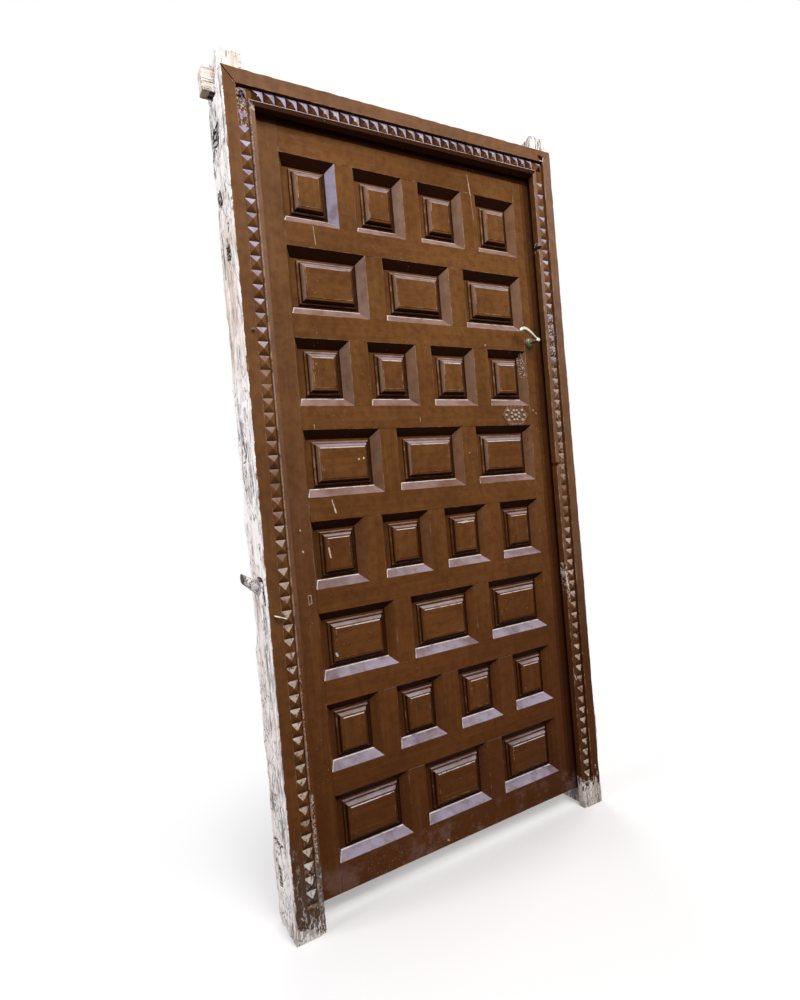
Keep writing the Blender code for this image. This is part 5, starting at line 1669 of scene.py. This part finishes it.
class DOOR_OT_panels(bpy.types.Operator):
    """Twenty-eight raised and moulded panels"""

    bl_idname = "door.panels"
    bl_label = "Panels"

    def execute(self, context):
        chance = random.Random(5)
        names = sorted(name for name in frame["nodes"] if name.startswith("panel_row"))
        for name in names:
            build_panel(name, context.scene.door_sizes, chance)
        return {"FINISHED"}


class DOOR_OT_hinges(bpy.types.Operator):
    """Strap hinges with their nails, and the pintles they turn on"""

    bl_idname = "door.hinges"
    bl_label = "Hinges"

    def execute(self, context):
        for place_name in ("upper", "lower"):
            build_strap(place_name + "_hinge_strap", context.scene.door_sizes)
            pintle = frame["nodes"][place_name + "_hinge_pintle"]
            pintle.material_slots[0].material = finish_of("rusted_iron")
        return {"FINISHED"}


class DOOR_OT_lever_set(bpy.types.Operator):
    """Levers, rose, bolt case and the parts of the bolt"""

    bl_idname = "door.lever_set"
    bl_label = "Lever Set"

    def execute(self, context):
        build_lever("outside_lever", True)
        build_lever("inside_lever", False)
        build_rose()
        build_case()
        for name in ("bolt", "bolt_follower", "bolt_keeper"):
            frame["nodes"][name].material_slots[0].material = finish_of("rusted_iron")
        return {"FINISHED"}


class DOOR_OT_plate(bpy.types.Operator):
    """Six-sided plate with a boss and petals"""

    bl_idname = "door.plate"
    bl_label = "Plate"

    def execute(self, context):
        build_plate()
        return {"FINISHED"}


class DOOR_OT_peg_and_nails(bpy.types.Operator):
    """Wooden wall peg and two nails in the left jamb"""

    bl_idname = "door.peg_and_nails"
    bl_label = "Peg and Nails"

    def execute(self, context):
        build_peg()
        build_nails()
        return {"FINISHED"}


def area_lamp(name, spot, target, size, power, tone):
    lamp = bpy.data.lights.new(name, "AREA")
    lamp.shape = "RECTANGLE"
    lamp.size, lamp.size_y = size
    lamp.energy = power
    lamp.color = tone
    made = bpy.data.objects.new(name, lamp)
    bpy.context.scene.collection.objects.link(made)
    made.location = spot
    made.rotation_euler = (Vector(target) - Vector(spot)).to_track_quat("-Z", "Y").to_euler()
    return made


def seen_directly(tree):
    """1 for camera, glossy and transmission rays, 0 for the rest."""
    path = tree.nodes.new("ShaderNodeLightPath").outputs
    both = calc(tree, "MAXIMUM", path["Is Camera Ray"], path["Is Glossy Ray"])
    return calc(tree, "MAXIMUM", both, path["Is Transmission Ray"])


class DOOR_OT_stage(bpy.types.Operator):
    """Pale floor, soft lamps, plain surroundings and the camera"""

    bl_idname = "door.stage"
    bl_label = "Stage"

    def execute(self, context):
        scene = context.scene
        work = bmesh.new()
        bmesh.ops.create_circle(work, cap_ends=True, segments=96, radius=30.0)
        mesh = bpy.data.meshes.new("floor")
        work.to_mesh(mesh)
        work.free()
        floor = bpy.data.objects.new("floor", mesh)
        scene.collection.objects.link(floor)
        made = bpy.data.materials.new("pale_floor")
        made.use_nodes = True
        tree = made.node_tree
        shader = tree.nodes["Principled BSDF"]
        seen = seen_directly(tree)
        ground = mix(tree, seen, (0.22, 0.20, 0.18, 1), (0.86, 0.855, 0.85, 1))
        tree.links.new(ground, shader.inputs["Base Color"])
        shader.inputs["Roughness"].default_value = 0.9
        shader.inputs["Specular IOR Level"].default_value = 0.1
        spot = tree.nodes.new("ShaderNodeTexCoord").outputs["Object"]
        away = put(tree, "ShaderNodeVectorMath", {0: spot}, operation="LENGTH").outputs["Value"]
        white = put(tree, "ShaderNodeEmission", {"Color": (1, 1, 1, 1), "Strength": 1.0})
        share = calc(tree, "MULTIPLY", fade(tree, away, 0.25, 1.05), seen)
        values = {0: share, 1: shader.outputs[0], 2: white.outputs[0]}
        both = put(tree, "ShaderNodeMixShader", values)
        tree.links.new(both.outputs[0], tree.nodes["Material Output"].inputs["Surface"])
        mesh.materials.append(made)

        world = bpy.data.worlds.new("plain_surroundings")
        world.use_nodes = True
        scene.world = world
        tree = world.node_tree
        fill = tree.nodes["Background"]
        fill.inputs["Color"].default_value = (0.86, 0.88, 1.0, 1)
        fill.inputs["Strength"].default_value = 0.08
        white = put(tree, "ShaderNodeBackground", {"Color": (1, 1, 1, 1), "Strength": 1.0})
        values = {0: seen_directly(tree), 1: fill.outputs[0], 2: white.outputs[0]}
        both = put(tree, "ShaderNodeMixShader", values)
        tree.links.new(both.outputs[0], tree.nodes["World Output"].inputs["Surface"])

        key = area_lamp("key", (0.3, -2.8, 3.2), (0, 0, 1.1), (1.8, 1.8), 104, (1.0, 0.97, 0.93))
        key.visible_glossy = False
        area_lamp("overhead", (-0.7, -1.9, 3.9), (0, 0, 0.9), (2.2, 2.0), 66, (0.95, 0.95, 1.0))
        area_lamp("left", (-3.7, 0.1, 1.8), (-0.5, 0, 0.9), (1.6, 2.4), 108, (0.98, 0.96, 0.98))
        area_lamp("right", (3.7, 0.7, 1.9), (0.5, 0, 1.0), (1.6, 2.4), 45, (1.0, 0.98, 0.96))
        area_lamp("back", (1.2, 3.4, 3.0), (0, 0, 1.0), (2.4, 2.4), 80, (1.0, 0.98, 0.96))

        camera = bpy.data.cameras.new("camera")
        camera.sensor_width = 36.0
        camera.lens = 21.792
        made = bpy.data.objects.new("camera", camera)
        scene.collection.objects.link(made)
        right = Vector((0.857853, -0.506801, -0.084824))
        ahead = Vector((0.507643, 0.861460, -0.013550))
        right = (right - ahead * right.dot(ahead)).normalized()
        up = right.cross(ahead)
        turn = Matrix((right, up, -ahead)).transposed().to_4x4()
        made.matrix_world = Matrix.Translation((-0.93347, -1.41201, 1.02730)) @ turn
        scene.camera = made
        scene.view_settings.view_transform = "Standard"
        return {"FINISHED"}


STEPS = (
    DOOR_OT_jambs,
    DOOR_OT_head,
    DOOR_OT_beads,
    DOOR_OT_stiles,
    DOOR_OT_rails,
    DOOR_OT_panels,
    DOOR_OT_hinges,
    DOOR_OT_lever_set,
    DOOR_OT_plate,
    DOOR_OT_peg_and_nails,
    DOOR_OT_stage,
)


class DOOR_PT_panel(bpy.types.Panel):
    """Lists the door's building steps"""

    bl_idname = "DOOR_PT_panel"
    bl_label = "Panelled Door"
    bl_space_type = "VIEW_3D"
    bl_region_type = "UI"
    bl_category = "Door"

    def draw(self, context):
        for step in STEPS:
            self.layout.operator(step.bl_idname)
        for group in (context.scene.door_sizes, context.scene.door_colours):
            for name in group.__annotations__:
                self.layout.prop(group, name)


CLASSES = (DoorSizes, DoorColours, *STEPS, DOOR_PT_panel)


def register():
    for made in CLASSES:
        bpy.utils.register_class(made)
    bpy.types.Scene.door_sizes = PointerProperty(type=DoorSizes)
    bpy.types.Scene.door_colours = PointerProperty(type=DoorColours)


def unregister():
    del bpy.types.Scene.door_colours
    del bpy.types.Scene.door_sizes
    for made in reversed(CLASSES):
        bpy.utils.unregister_class(made)


def main():
    register()
    for step in STEPS:
        group, name = step.bl_idname.split(".")
        getattr(getattr(bpy.ops, group), name)()


if __name__ == "__main__":
    main()
